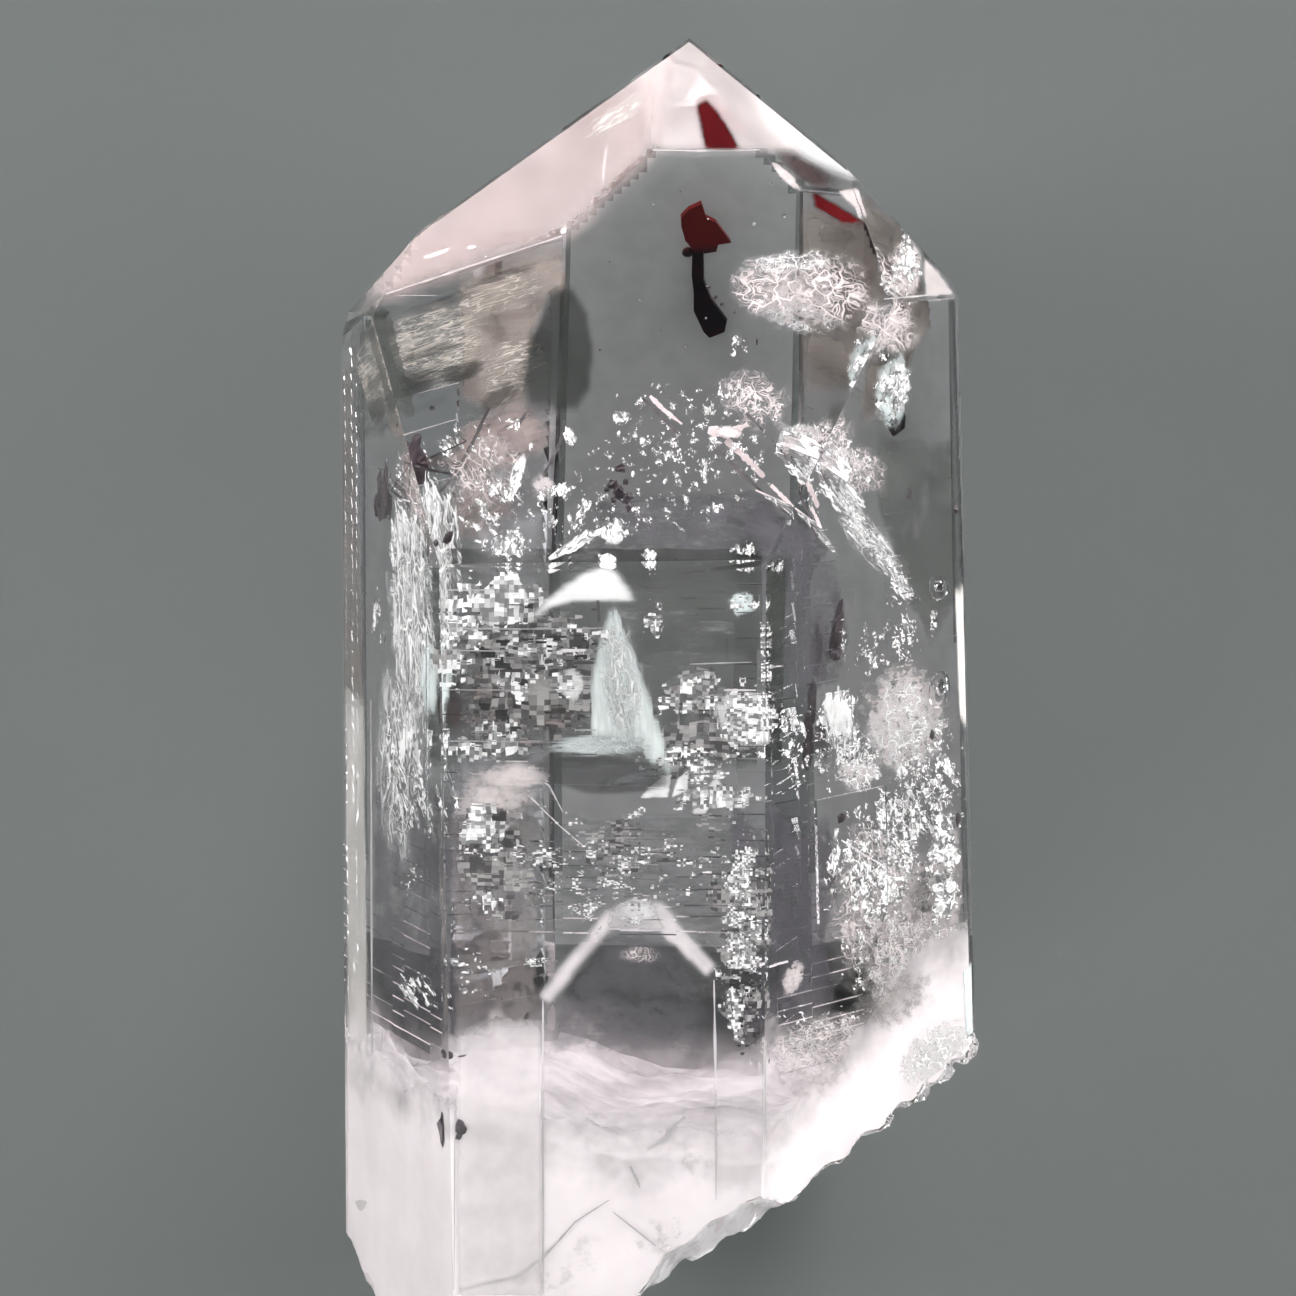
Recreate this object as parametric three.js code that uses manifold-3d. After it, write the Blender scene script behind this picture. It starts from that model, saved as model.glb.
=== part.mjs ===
// A clear quartz crystal with a hematite inclusion and a milky phantom sealed in it, in millimetres.
// The crystal lies on its back prism face: +Y runs along the c axis to the point, +Z is up.
// It is built about its c axis, with y = 0 where the front prism face meets the point.

import * as THREE from 'three';
import { ConvexGeometry } from 'three/addons/geometries/ConvexGeometry.js';
import { mergeVertices } from 'three/addons/utils/BufferGeometryUtils.js';
import Module from 'manifold-3d';

// Driving dimensions

// Prism faces: azimuth of the face about the c axis in degrees, from +Z towards +X,
// its distance from the axis at y = 0, and the lean by which the face spreads towards the base.
const PRISM_FACES = {
  front: { azimuth: 0, distance: 17.3, lean: 2.8 },
  frontRight: { azimuth: 60, distance: 16.35, lean: 1.1 },
  backRight: { azimuth: 120, distance: 15.05, lean: 0.7 },
  back: { azimuth: 180, distance: 17.3, lean: 0 },
  backLeft: { azimuth: 240, distance: 14.6, lean: 0.3 },
  frontLeft: { azimuth: 300, distance: 16.8, lean: 0.8 },
};

// Faces of the point: azimuth, and the height at which the face would meet the c axis.
const POINT_FACES = {
  pointFront: { azimuth: 0, reach: 22.0 },
  pointFrontRight: { azimuth: 60, reach: 34.1 },
  pointBackRight: { azimuth: 120, reach: 33.2 },
  pointBack: { azimuth: 180, reach: 39.0 },
  pointBackLeft: { azimuth: 240, reach: 29.75 },
  pointFrontLeft: { azimuth: 300, reach: 34.1 },
};
const POINT_RISE = 38.2; // degrees from the cross-section to a point face's normal

// Growth ledges across the prism faces: thin wedges, each thickest at its upper end.
const LEDGES = [
  { face: 'front', top: -1.2, bottom: -29, count: 15, height: 0.16, seed: 3 },
  { face: 'frontRight', top: 3.5, bottom: -29, count: 11, height: 0.14, seed: 11 },
  { face: 'frontLeft', top: 4.5, bottom: -36, count: 12, height: 0.2, seed: 23 },
  { face: 'backLeft', top: 9.5, bottom: -34, count: 20, height: 0.2, seed: 31 },
  { face: 'backRight', top: 8, bottom: -28, count: 11, height: 0.14, seed: 47 },
];
const LEDGE_RISER = 0.12; // length of a ledge's steep upper edge
const LEDGE_TREAD = 0.03; // height of a ledge at its thin lower end
const LEDGE_ROOT = 0.6; // depth to which a ledge reaches into the crystal

// Growth tiles: raised flat patches. across and along place the middle of the patch on its face.
const TILES = [
  { face: 'front', across: -6.2, along: -3.6, width: 4.2, length: 2.6, height: 0.14 },
  { face: 'front', across: -1.6, along: -2.6, width: 3.4, length: 1.8, height: 0.1 },
  { face: 'front', across: 3.9, along: -5.2, width: 5.6, length: 3.2, height: 0.12 },
  { face: 'front', across: -4.8, along: -8.2, width: 6.0, length: 2.4, height: 0.18 },
  { face: 'front', across: 5.2, along: -10.6, width: 4.0, length: 3.4, height: 0.16 },
  { face: 'front', across: -0.6, along: -13.6, width: 5.2, length: 2.8, height: 0.12 },
  { face: 'frontLeft', across: 5.6, along: -6.5, width: 5.0, length: 17, height: 0.24 },
  { face: 'frontRight', across: 9.6, along: -13.5, width: 2.2, length: 20, height: 0.3 },
  { face: 'frontRight', across: -3.5, along: -17, width: 6.5, length: 7, height: 0.2 },
  { face: 'backRight', across: -5.5, along: -14, width: 7, length: 12, height: 0.25 },
  { face: 'backLeft', across: -3, along: -22, width: 9, length: 9, height: 0.3 },
];

// The broken base rises from its lowest part, on the left, towards both sides.
const BREAK = {
  lowest: -46.4,
  rightRampStart: -41.8,
  rightRampSlope: 0.64,
  leftCornerX: -16,
  leftCornerY: -44.3,
  leftRampSlope: 1.12,
  blend: 1.1, // how softly the three parts of the break run into each other
  terraceRise: 1.5, // height from one break ledge to the next
  terraceShare: 0.55, // how far the slope is gathered into ledges
  rippleHeight: 0.34,
  ripplePitch: 2.6,
  rippleCentre: [6, 15], // x and z of the point that the shell-like ripples spread from
};
const FRONT_CHIP = { fromX: 1.5, toX: 12, fromZ: 16.2, rise: 0.75 };
const BREAK_GRID = { size: 46, cells: 34, floor: -60 };

// Small lumps of quartz that crust the right corner of the base: x, y, z and radius.
const BASE_LUMPS = [
  [17.9, -29.9, 1.6, 1.0],
  [17.0, -30.9, 3.5, 0.65],
  [16.7, -30.3, -0.9, 0.9],
  [15.6, -31.5, 5.6, 0.9],
  [16.3, -31.4, 1.2, 0.8],
  [14.1, -32.7, 8.6, 0.6],
  [15.2, -31.7, -3.1, 0.75],
  [14.6, -32.4, 2.6, 0.9],
];

// Hematite: a plate that tips up towards the point, and a flat blade that hangs from its lower edge.
const PLATE = {
  foot: [1.4, 10.3, -16.3], // where the outline's zero point is
  tilt: 31, // degrees about X
  turn: 15.6, // degrees about Y
  thickness: 0.32,
};
const PLATE_OUTLINE = [
  [-0.42, 4.81], [0, 3.4], [0.66, 2.83], [1.79, 0.75], [1.01, 0.64], [0.96, -0.04],
  [0.25, -0.15], [-0.24, -0.1], [-1.05, 1.27], [-1.44, 2.68], [-1.53, 3.57], [-1.15, 4.31],
];
const BLADE_DEPTH = -16.3; // z of the middle of the blade
const BLADE_THICKNESS = 0.46;
const BLADE_OUTLINE = [
  [0.95, 10.7], [1.64, 10.7], [1.6, 10.0], [1.67, 8.27], [2.12, 7.03], [3.11, 5.51],
  [3.0, 4.75], [2.11, 4.34], [1.74, 4.75], [1.12, 6.2], [1.09, 7.51], [0.95, 8.62],
];
const BEAD = { x: 0.66, y: 10.2, radius: 0.36 };

// Milky quartz in the base. The phantom is the ghost of an earlier, smaller crystal with faces of its own.
const PHANTOM_PRISM_FACES = {
  front: { azimuth: 0, distance: 14.0, lean: 0 },
  frontRight: { azimuth: 60, distance: 11.7, lean: 0 },
  backRight: { azimuth: 120, distance: 10.5, lean: 0 },
  back: { azimuth: 180, distance: 9.0, lean: 0 },
  backLeft: { azimuth: 240, distance: 10.0, lean: 0 },
  frontLeft: { azimuth: 300, distance: 10.6, lean: 0 },
};
const PHANTOM_POINT_FACES = {
  pointFront: { azimuth: 0, reach: -1.65 },
  pointFrontRight: { azimuth: 60, reach: -8.3 },
  pointBackRight: { azimuth: 120, reach: -18 },
  pointBack: { azimuth: 180, reach: -28 },
  pointBackLeft: { azimuth: 240, reach: -20 },
  pointFrontLeft: { azimuth: 300, reach: -11 },
};

// The phantom stands in a cloudy root that fills the base and climbs on the right.
// Each level is a line in x and y, by a point on it and its slope.
const ROOT_INSET = 1.5; // between the root and the prism faces
const ROOT_TOP = { x: 0, y: -26.5, slope: 0 };
const ROOT_RIGHT_TOP = { x: 8.5, y: -27.5, slope: 0.72 };
const ROOT_RIGHT_FROM_X = 5;
const ROOT_FEET = [
  { x: 0, y: -38.4, slope: 0.64 },
  { x: -16, y: -41.9, slope: -1.12 },
  { x: 0, y: -44, slope: 0 },
];

const SMALLEST_DETAIL = 0.004; // slivers thinner than this are merged away
const FIT_GAP = 0.3; // between the two halves, and between an inclusion and its pocket
const PARTING_X = 1.5; // the plane that parts the crystal runs through the inclusion

const QUARTZ_COLOUR = 0xf0ecef;
const MILKY_COLOUR = 0xede0e4;
const HEMATITE_COLOUR = 0x4a1216;

const wasm = await Module();
wasm.setup();

// Solids

function toSolid(geometry) {
  const bare = geometry.clone();
  bare.deleteAttribute('normal');
  bare.deleteAttribute('uv');
  const merged = mergeVertices(bare, 1e-5);
  const mesh = new wasm.Mesh({
    numProp: 3,
    vertProperties: new Float32Array(merged.attributes.position.array),
    triVerts: new Uint32Array(merged.index.array),
  });
  return new wasm.Manifold(mesh);
}

function toGeometry(solid) {
  const mesh = solid.simplify(SMALLEST_DETAIL).getMesh();
  const geometry = new THREE.BufferGeometry();
  geometry.setAttribute('position', new THREE.BufferAttribute(new Float32Array(mesh.vertProperties), 3));
  geometry.setIndex(new THREE.BufferAttribute(new Uint32Array(mesh.triVerts), 1));
  geometry.computeVertexNormals();
  return geometry;
}

function wave(seed) {
  const value = Math.sin(seed * 127.1 + 3.7) * 43758.5453;
  return value - Math.floor(value);
}

// Faces

function faceNormal(azimuth, rise) {
  const a = THREE.MathUtils.degToRad(azimuth);
  const r = THREE.MathUtils.degToRad(rise);
  return new THREE.Vector3(Math.sin(a) * Math.cos(r), Math.sin(r), Math.cos(a) * Math.cos(r));
}

function prismPlane(face) {
  const normal = faceNormal(face.azimuth, face.lean);
  return { normal, offset: face.distance * Math.cos(THREE.MathUtils.degToRad(face.lean)) };
}

function pointPlane(face) {
  const normal = faceNormal(face.azimuth, POINT_RISE);
  return { normal, offset: face.reach * normal.y };
}

function facePlanes(prismFaces, pointFaces) {
  const planes = new Map();
  for (const [name, face] of Object.entries(prismFaces)) {
    planes.set(name, prismPlane(face));
  }
  for (const [name, face] of Object.entries(pointFaces)) {
    planes.set(name, pointPlane(face));
  }
  return planes;
}

function crystalPlanes() {
  const planes = facePlanes(PRISM_FACES, POINT_FACES);
  planes.set('floor', { normal: new THREE.Vector3(0, -1, 0), offset: -BREAK_GRID.floor - 5 });
  return planes;
}

function meetingPoint(a, b, c) {
  const across = new THREE.Vector3().crossVectors(b.normal, c.normal);
  const volume = a.normal.dot(across);
  if (Math.abs(volume) < 1e-6) {
    return null;
  }
  const point = across.multiplyScalar(a.offset);
  point.addScaledVector(new THREE.Vector3().crossVectors(c.normal, a.normal), b.offset);
  point.addScaledVector(new THREE.Vector3().crossVectors(a.normal, b.normal), c.offset);
  return point.divideScalar(volume);
}

function solidInside(planes) {
  const list = [...planes.values()];
  const corners = [];
  for (let i = 0; i < list.length; i += 1) {
    for (let j = i + 1; j < list.length; j += 1) {
      for (let k = j + 1; k < list.length; k += 1) {
        const point = meetingPoint(list[i], list[j], list[k]);
        if (point && list.every((plane) => plane.normal.dot(point) <= plane.offset + 1e-6)) {
          corners.push(point);
        }
      }
    }
  }
  return toSolid(new ConvexGeometry(corners));
}

// The crystal with one face moved out, which trims what stands on that face to its neighbours.
function trimSolid(faceName) {
  const planes = crystalPlanes();
  planes.get(faceName).offset += 1;
  return solidInside(planes);
}

// Places a shape drawn as (outwards, along, across) on a prism face.
function faceMatrix(faceName) {
  const { normal, offset } = prismPlane(PRISM_FACES[faceName]);
  const a = THREE.MathUtils.degToRad(PRISM_FACES[faceName].azimuth);
  const across = new THREE.Vector3(Math.cos(a), 0, -Math.sin(a));
  const along = new THREE.Vector3().crossVectors(across, normal).negate();
  const matrix = new THREE.Matrix4().makeBasis(normal, along, across.clone().negate());
  const foot = normal.clone().multiplyScalar(offset);
  foot.addScaledVector(along, -foot.y / along.y);
  return matrix.setPosition(foot);
}

// Growth relief

function ledgeOutline({ top, bottom, count, height, seed }) {
  const pitch = (top - bottom) / count;
  const shape = new THREE.Shape();
  shape.moveTo(-LEDGE_ROOT, top);
  for (let i = 0; i < count; i += 1) {
    const start = top - pitch * (i + 0.35 * wave(seed + i));
    const rise = height * (0.45 + 0.55 * wave(seed * 2 + i));
    shape.lineTo(LEDGE_TREAD, start);
    shape.lineTo(rise, start - LEDGE_RISER);
  }
  shape.lineTo(LEDGE_TREAD, bottom);
  shape.lineTo(-LEDGE_ROOT, bottom);
  return shape;
}

function ledgeSolid(ledges) {
  const width = 30;
  const geometry = new THREE.ExtrudeGeometry(ledgeOutline(ledges), { depth: width, bevelEnabled: false });
  geometry.translate(0, 0, -width / 2);
  geometry.applyMatrix4(faceMatrix(ledges.face));
  return toSolid(geometry).intersect(trimSolid(ledges.face));
}

function tileSolid({ face, across, along, width, length, height }) {
  const depth = height + LEDGE_ROOT;
  const geometry = new THREE.BoxGeometry(depth, length, width);
  geometry.translate(depth / 2 - LEDGE_ROOT, along, -across);
  geometry.applyMatrix4(faceMatrix(face));
  return toSolid(geometry).intersect(trimSolid(face));
}

// Broken base

function softMax(values, softness) {
  const peak = Math.max(...values);
  const sum = values.reduce((total, value) => total + Math.exp((value - peak) / softness), 0);
  return peak + softness * Math.log(sum);
}

function smoothStep(from, to, value) {
  return THREE.MathUtils.smoothstep(value, from, to);
}

function breakHeight(x, z) {
  const right = BREAK.rightRampStart + BREAK.rightRampSlope * x;
  const left = BREAK.leftCornerY - BREAK.leftRampSlope * (x - BREAK.leftCornerX);
  const slope = softMax([right, left, BREAK.lowest], BREAK.blend);
  const shifted = (slope + 0.05 * z + 0.5 * Math.sin(z * 0.31)) / BREAK.terraceRise;
  const part = shifted - Math.floor(shifted);
  const terrace = (smoothStep(0.55, 0.95, part) - part) * BREAK.terraceRise * BREAK.terraceShare;
  const [cx, cz] = BREAK.rippleCentre;
  const distance = Math.hypot(x - cx, z - cz);
  const ripple = BREAK.rippleHeight * Math.sin((distance * 2 * Math.PI) / BREAK.ripplePitch + Math.sin(x * 0.7));
  const chipAcross = smoothStep(FRONT_CHIP.fromX, FRONT_CHIP.fromX + 2, x)
    * (1 - smoothStep(FRONT_CHIP.toX - 2, FRONT_CHIP.toX, x));
  const chip = chipAcross * FRONT_CHIP.rise * Math.max(0, z - FRONT_CHIP.fromZ);
  return slope + terrace + ripple + chip;
}

// Everything below the break: a block whose upper side is the broken surface.
function brokenOffSolid() {
  const { size, cells, floor } = BREAK_GRID;
  const rows = cells + 1;
  const positions = [];
  for (const level of ['break', 'floor']) {
    for (let i = 0; i < rows; i += 1) {
      for (let j = 0; j < rows; j += 1) {
        const x = (i / cells - 0.5) * size;
        const z = (j / cells - 0.5) * size;
        positions.push(x, level === 'break' ? breakHeight(x, z) : floor, z);
      }
    }
  }
  const index = [];
  const under = rows * rows;
  const quad = (a, b, c, d) => index.push(a, b, c, a, c, d);
  for (let i = 0; i < cells; i += 1) {
    for (let j = 0; j < cells; j += 1) {
      const a = i * rows + j;
      quad(a, a + 1, a + rows + 1, a + rows);
      quad(under + a, under + a + rows, under + a + rows + 1, under + a + 1);
    }
  }
  for (let k = 0; k < cells; k += 1) {
    const left = k;
    const right = cells * rows + k;
    const back = k * rows;
    const front = k * rows + cells;
    quad(left, under + left, under + left + 1, left + 1);
    quad(right, right + 1, under + right + 1, under + right);
    quad(back, back + rows, under + back + rows, under + back);
    quad(front, under + front, under + front + rows, front + rows);
  }
  const geometry = new THREE.BufferGeometry();
  geometry.setAttribute('position', new THREE.Float32BufferAttribute(positions, 3));
  geometry.setIndex(index);
  return toSolid(geometry);
}

function lumpSolid([x, y, z, radius]) {
  const geometry = new THREE.IcosahedronGeometry(radius, 1);
  geometry.rotateX(x + z);
  geometry.rotateY(y);
  geometry.translate(x, y, z);
  return toSolid(geometry);
}

// Hematite

function grownOutline(points, by) {
  const grown = [];
  const count = points.length;
  for (let i = 0; i < count; i += 1) {
    const before = new THREE.Vector2(...points[(i + count - 1) % count]);
    const here = new THREE.Vector2(...points[i]);
    const after = new THREE.Vector2(...points[(i + 1) % count]);
    const first = here.clone().sub(before).normalize();
    const second = after.clone().sub(here).normalize();
    const out = new THREE.Vector2(-first.y - second.y, first.x + second.x);
    const scale = (2 * by) / Math.max(out.lengthSq(), 0.6);
    grown.push(here.addScaledVector(out, scale));
  }
  return grown;
}

// A flat piece drawn about its own middle plane, and swollen by grow on every side.
function slabGeometry(points, thickness, grow) {
  const shape = new THREE.Shape(grownOutline(points, grow));
  const depth = thickness + 2 * grow;
  const geometry = new THREE.ExtrudeGeometry(shape, { depth, bevelEnabled: false });
  geometry.translate(0, 0, -depth / 2);
  return geometry;
}

function hematiteSolid(grow) {
  const plate = slabGeometry(PLATE_OUTLINE, PLATE.thickness, grow);
  plate.rotateX(THREE.MathUtils.degToRad(PLATE.tilt));
  plate.rotateY(THREE.MathUtils.degToRad(PLATE.turn));
  plate.translate(...PLATE.foot);
  const blade = slabGeometry(BLADE_OUTLINE, BLADE_THICKNESS, grow);
  blade.translate(0, 0, BLADE_DEPTH);
  const bead = new THREE.IcosahedronGeometry(BEAD.radius + grow, 1);
  bead.translate(BEAD.x, BEAD.y, BLADE_DEPTH);
  return toSolid(plate).add(toSolid(blade)).add(toSolid(bead));
}

// Milky quartz

// The plane that runs along z through a level line, and bounds what is under it (side 1) or over it (side -1).
function levelPlane({ x, y, slope }, side) {
  const normal = new THREE.Vector3(-slope, 1, 0).normalize().multiplyScalar(side);
  return { normal, offset: normal.x * x + normal.y * y };
}

function milkyBody(planes, grow) {
  ROOT_FEET.forEach((foot, i) => planes.set(`foot${i}`, levelPlane(foot, -1)));
  for (const plane of planes.values()) {
    plane.offset += grow;
  }
  return solidInside(planes);
}

function rootPlanes(top) {
  const planes = facePlanes(PRISM_FACES, {});
  for (const plane of planes.values()) {
    plane.offset -= ROOT_INSET;
  }
  return planes.set('top', levelPlane(top, 1));
}

function milkySolid(grow) {
  const phantom = milkyBody(facePlanes(PHANTOM_PRISM_FACES, PHANTOM_POINT_FACES), grow);
  const root = milkyBody(rootPlanes(ROOT_TOP), grow);
  const rightPlanes = rootPlanes(ROOT_RIGHT_TOP);
  rightPlanes.set('left', { normal: new THREE.Vector3(-1, 0, 0), offset: -ROOT_RIGHT_FROM_X });
  return phantom.add(root).add(milkyBody(rightPlanes, grow));
}

// Whole crystal and its halves

function crystalSolid() {
  let crystal = solidInside(crystalPlanes());
  for (const ledges of LEDGES) {
    crystal = crystal.add(ledgeSolid(ledges));
  }
  for (const tile of TILES) {
    crystal = crystal.add(tileSolid(tile));
  }
  crystal = crystal.subtract(brokenOffSolid());
  for (const lump of BASE_LUMPS) {
    crystal = crystal.add(lumpSolid(lump));
  }
  return crystal;
}

function sideBox(side) {
  const size = 120;
  const geometry = new THREE.BoxGeometry(size, size, size);
  geometry.translate(PARTING_X + side * (size / 2 + FIT_GAP / 2), 0, 0);
  return toSolid(geometry);
}

function namedMesh(name, solid, material) {
  const mesh = new THREE.Mesh(toGeometry(solid), material);
  mesh.name = name;
  return mesh;
}

const quartz = new THREE.MeshStandardMaterial({ color: QUARTZ_COLOUR, roughness: 0.05, metalness: 0 });
const milky = new THREE.MeshStandardMaterial({ color: MILKY_COLOUR, roughness: 0.7, metalness: 0 });
const hematite = new THREE.MeshStandardMaterial({ color: HEMATITE_COLOUR, roughness: 0.3, metalness: 0.2 });

const hollow = crystalSolid().subtract(hematiteSolid(FIT_GAP)).subtract(milkySolid(FIT_GAP));

const part = new THREE.Group();
part.add(namedMesh('quartz_left_half', hollow.intersect(sideBox(-1)), quartz));
part.add(namedMesh('quartz_right_half', hollow.intersect(sideBox(1)), quartz));
part.add(namedMesh('hematite_inclusion', hematiteSolid(0), hematite));
part.add(namedMesh('milky_phantom', milkySolid(0), milky));

// The origin is under the middle of the crystal, on the surface that it lies on.
const extent = new THREE.Box3().setFromObject(part);
const middle = extent.getCenter(new THREE.Vector3());
part.position.set(-middle.x, -middle.y, -extent.min.z);

export default part;
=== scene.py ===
import itertools
import math

import bmesh
import bpy
import numpy as np
from mathutils import Matrix, Vector, noise


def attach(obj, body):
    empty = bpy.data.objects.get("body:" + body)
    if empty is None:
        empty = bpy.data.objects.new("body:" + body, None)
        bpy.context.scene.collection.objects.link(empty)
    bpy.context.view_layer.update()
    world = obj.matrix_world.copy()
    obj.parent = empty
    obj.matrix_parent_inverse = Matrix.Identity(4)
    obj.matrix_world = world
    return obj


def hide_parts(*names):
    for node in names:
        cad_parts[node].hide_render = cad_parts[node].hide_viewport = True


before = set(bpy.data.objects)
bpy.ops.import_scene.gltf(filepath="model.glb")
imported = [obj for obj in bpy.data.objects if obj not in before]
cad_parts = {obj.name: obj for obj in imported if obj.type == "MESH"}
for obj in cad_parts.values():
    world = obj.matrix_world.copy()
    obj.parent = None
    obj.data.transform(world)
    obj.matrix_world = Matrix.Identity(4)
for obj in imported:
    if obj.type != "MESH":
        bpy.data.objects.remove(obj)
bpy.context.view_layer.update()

# The crystal is worked out in millimetres about its c axis: +Y to the point, +Z up, and y = 0 where
# the front prism face meets the point. Everything is moved to the frame, in metres, at the end.
MM = 0.001
QUARTZ_IOR = 1.544
WATER_IOR = 1.333
BODY = "root"

# Prism faces: azimuth about the c axis from +Z towards +X, distance from the axis, lean to the base
PRISM_FACES = {
    "front": (0, 17.3, 2.8),
    "front_right": (60, 16.35, 1.1),
    "back_right": (120, 15.05, 0.7),
    "back": (180, 17.3, 0.0),
    "back_left": (240, 14.6, 0.3),
    "front_left": (300, 16.8, 0.8),
}
# Faces of the point: azimuth, and the height at which the face would meet the c axis
POINT_FACES = {
    "point_front": (0, 22.0),
    "point_front_right": (60, 34.1),
    "point_back_right": (120, 33.2),
    "point_back": (180, 39.0),
    "point_back_left": (240, 29.75),
    "point_front_left": (300, 34.1),
}
POINT_RISE = 38.2
# The c axis's zero point in the frame: the crystal is centred, and its back face is at the foot
AXIS = np.array([-0.142, 9.364, 17.3])

# The photograph's camera, seen from the crystal: turned, pitched and rolled, in degrees and mm
PHOTO_SIZE = 1296
CAMERA_YAW = -9.03
CAMERA_PITCH = 7.55
CAMERA_ROLL = 0.67
CAMERA_DISTANCE = 315.2
CAMERA_FOCAL_PX = 5731.0
AXIS_FROM_CAMERA = (0.415, 6.851, -18.113)
SENSOR_WIDTH = 36.0
NEAR_LIMIT, FAR_LIMIT = 0.01, 10.0
PIXEL_MM = 0.055

random = np.random.default_rng(20261)


# Places

def face_normal(azimuth, rise):
    a, r = math.radians(azimuth), math.radians(rise)
    return np.array([math.sin(a) * math.cos(r), math.sin(r), math.cos(a) * math.cos(r)])


def crystal_planes():
    planes = {}
    for name, (azimuth, distance, lean) in PRISM_FACES.items():
        planes[name] = (face_normal(azimuth, lean), distance * math.cos(math.radians(lean)))
    for name, (azimuth, reach) in POINT_FACES.items():
        normal = face_normal(azimuth, POINT_RISE)
        planes[name] = (normal, reach * normal[1])
    return planes


def turn(angle, axis):
    return np.array(Matrix.Rotation(math.radians(angle), 3, axis))


PLANES = crystal_planes()
NORMALS = np.array([normal for normal, _offset in PLANES.values()])
OFFSETS = np.array([offset for _normal, offset in PLANES.values()])
CAMERA_TURN = turn(CAMERA_ROLL, "Z") @ turn(CAMERA_PITCH, "X") @ turn(CAMERA_YAW, "Y")
FROM_CAMERA = Matrix(CAMERA_TURN.T.tolist())
EYE = CAMERA_TURN.T @ (np.array([0, 0, CAMERA_DISTANCE]) - np.array(AXIS_FROM_CAMERA))


def inner_rays(px, py):
    """Where rays from the camera through points of the photograph enter the crystal, and how they go on."""
    px, py = np.atleast_1d(px).astype(float), np.atleast_1d(py).astype(float)
    middle = PHOTO_SIZE / 2
    rays = np.stack([px - middle, middle - py, np.full_like(px, -CAMERA_FOCAL_PX)], axis=-1) @ CAMERA_TURN
    rays /= np.linalg.norm(rays, axis=1)[:, None]
    along = rays @ NORMALS.T
    reach = (OFFSETS - NORMALS @ EYE) / along
    entering = np.where(along < 0, reach, -np.inf)
    facing = NORMALS[entering.argmax(axis=1)]
    start = entering.max(axis=1)[:, None]
    cosine = -(facing * rays).sum(axis=1)[:, None]
    ratio = 1 / QUARTZ_IOR
    bent = ratio * rays + (ratio * cosine - np.sqrt(1 - ratio * ratio * (1 - cosine * cosine))) * facing
    return EYE + rays * start, bent


def at_depth(px, py, depth):
    """The points that lie so deep behind the face, in mm, and show at points of the photograph."""
    start, ray = inner_rays(px, py)
    return start + ray * np.broadcast_to(depth, len(start))[:, None]


def smooth_step(low, high, value):
    """0 below low, 1 above high, and smoothly from one to the other between them."""
    share = np.clip((value - low) / (high - low), 0, 1)
    return share * share * (3 - 2 * share)


def waves(x, z, rows, start=0):
    """Waves on top of start. Each has a height, how fast it runs along x and z, and a phase."""
    return sum((height * np.sin(x * by_x + z * by_z + phase) for height, by_x, by_z, phase in rows), start)


# Solids

JUMBLE = (127.1, 3.7, 43758.5453)
TOUCHING = 1e-6
MERGE_DISTANCE = 1e-4
HULL_END_Y = -55.0
BLOCK_END_Y = -60.0
TRIM_ROOM = 1.0


def wave(seed):
    """A number from 0 to 1 that jumps about from seed to seed."""
    step, first, gain = JUMBLE
    value = math.sin(seed * step + first) * gain
    return value - math.floor(value)


def new_object(name, mesh):
    obj = bpy.data.objects.new(name, mesh)
    bpy.context.scene.collection.objects.link(obj)
    return obj


def object_from(name, vertices, faces):
    mesh = bpy.data.meshes.new(name)
    mesh.from_pydata([tuple(v) for v in vertices], [], [tuple(f) for f in faces])
    mesh.validate()
    return new_object(name, mesh)


def object_of(name, work):
    """An object from a mesh that is still in work."""
    mesh = bpy.data.meshes.new(name)
    work.to_mesh(mesh)
    work.free()
    return new_object(name, mesh)


def dress(obj, material):
    obj.data.materials.clear()
    obj.data.materials.append(material)


def meeting_point(planes):
    """Where three planes meet, or None where two of them run side by side."""
    normals = np.array([normal for normal, _offset in planes])
    if abs(np.linalg.det(normals)) < TOUCHING:
        return None
    return np.linalg.solve(normals, np.array([offset for _normal, offset in planes]))


def solid_inside(planes):
    """The solid that a set of planes closes in, cut off square at the base."""
    listed = list(planes.values()) + [(np.array([0, -1.0, 0]), -HULL_END_Y)]
    work = bmesh.new()
    for three in itertools.combinations(listed, 3):
        point = meeting_point(three)
        if point is not None and all(normal @ point <= offset + TOUCHING for normal, offset in listed):
            work.verts.new(point)
    bmesh.ops.remove_doubles(work, verts=work.verts, dist=MERGE_DISTANCE)
    hull = bmesh.ops.convex_hull(work, input=work.verts)
    bmesh.ops.delete(work, geom=list(set(hull["geom_interior"] + hull["geom_unused"])), context="VERTS")
    bmesh.ops.recalc_face_normals(work, faces=work.faces)
    return object_of("hull", work)


def combine(solid, tool, operation):
    modifier = solid.modifiers.new("combine", "BOOLEAN")
    modifier.object = tool
    modifier.operation = operation
    modifier.solver = "MANIFOLD"
    graph = bpy.context.evaluated_depsgraph_get()
    made = bpy.data.meshes.new_from_object(solid.evaluated_get(graph))
    solid.modifiers.clear()
    solid.data = made
    bpy.data.objects.remove(tool)
    return solid


def trim_solid(face):
    """The crystal with one face moved out, to cut off what stands past the other faces."""
    normal, offset = PLANES[face]
    return solid_inside({**PLANES, face: (normal, offset + TRIM_ROOM)})


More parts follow.
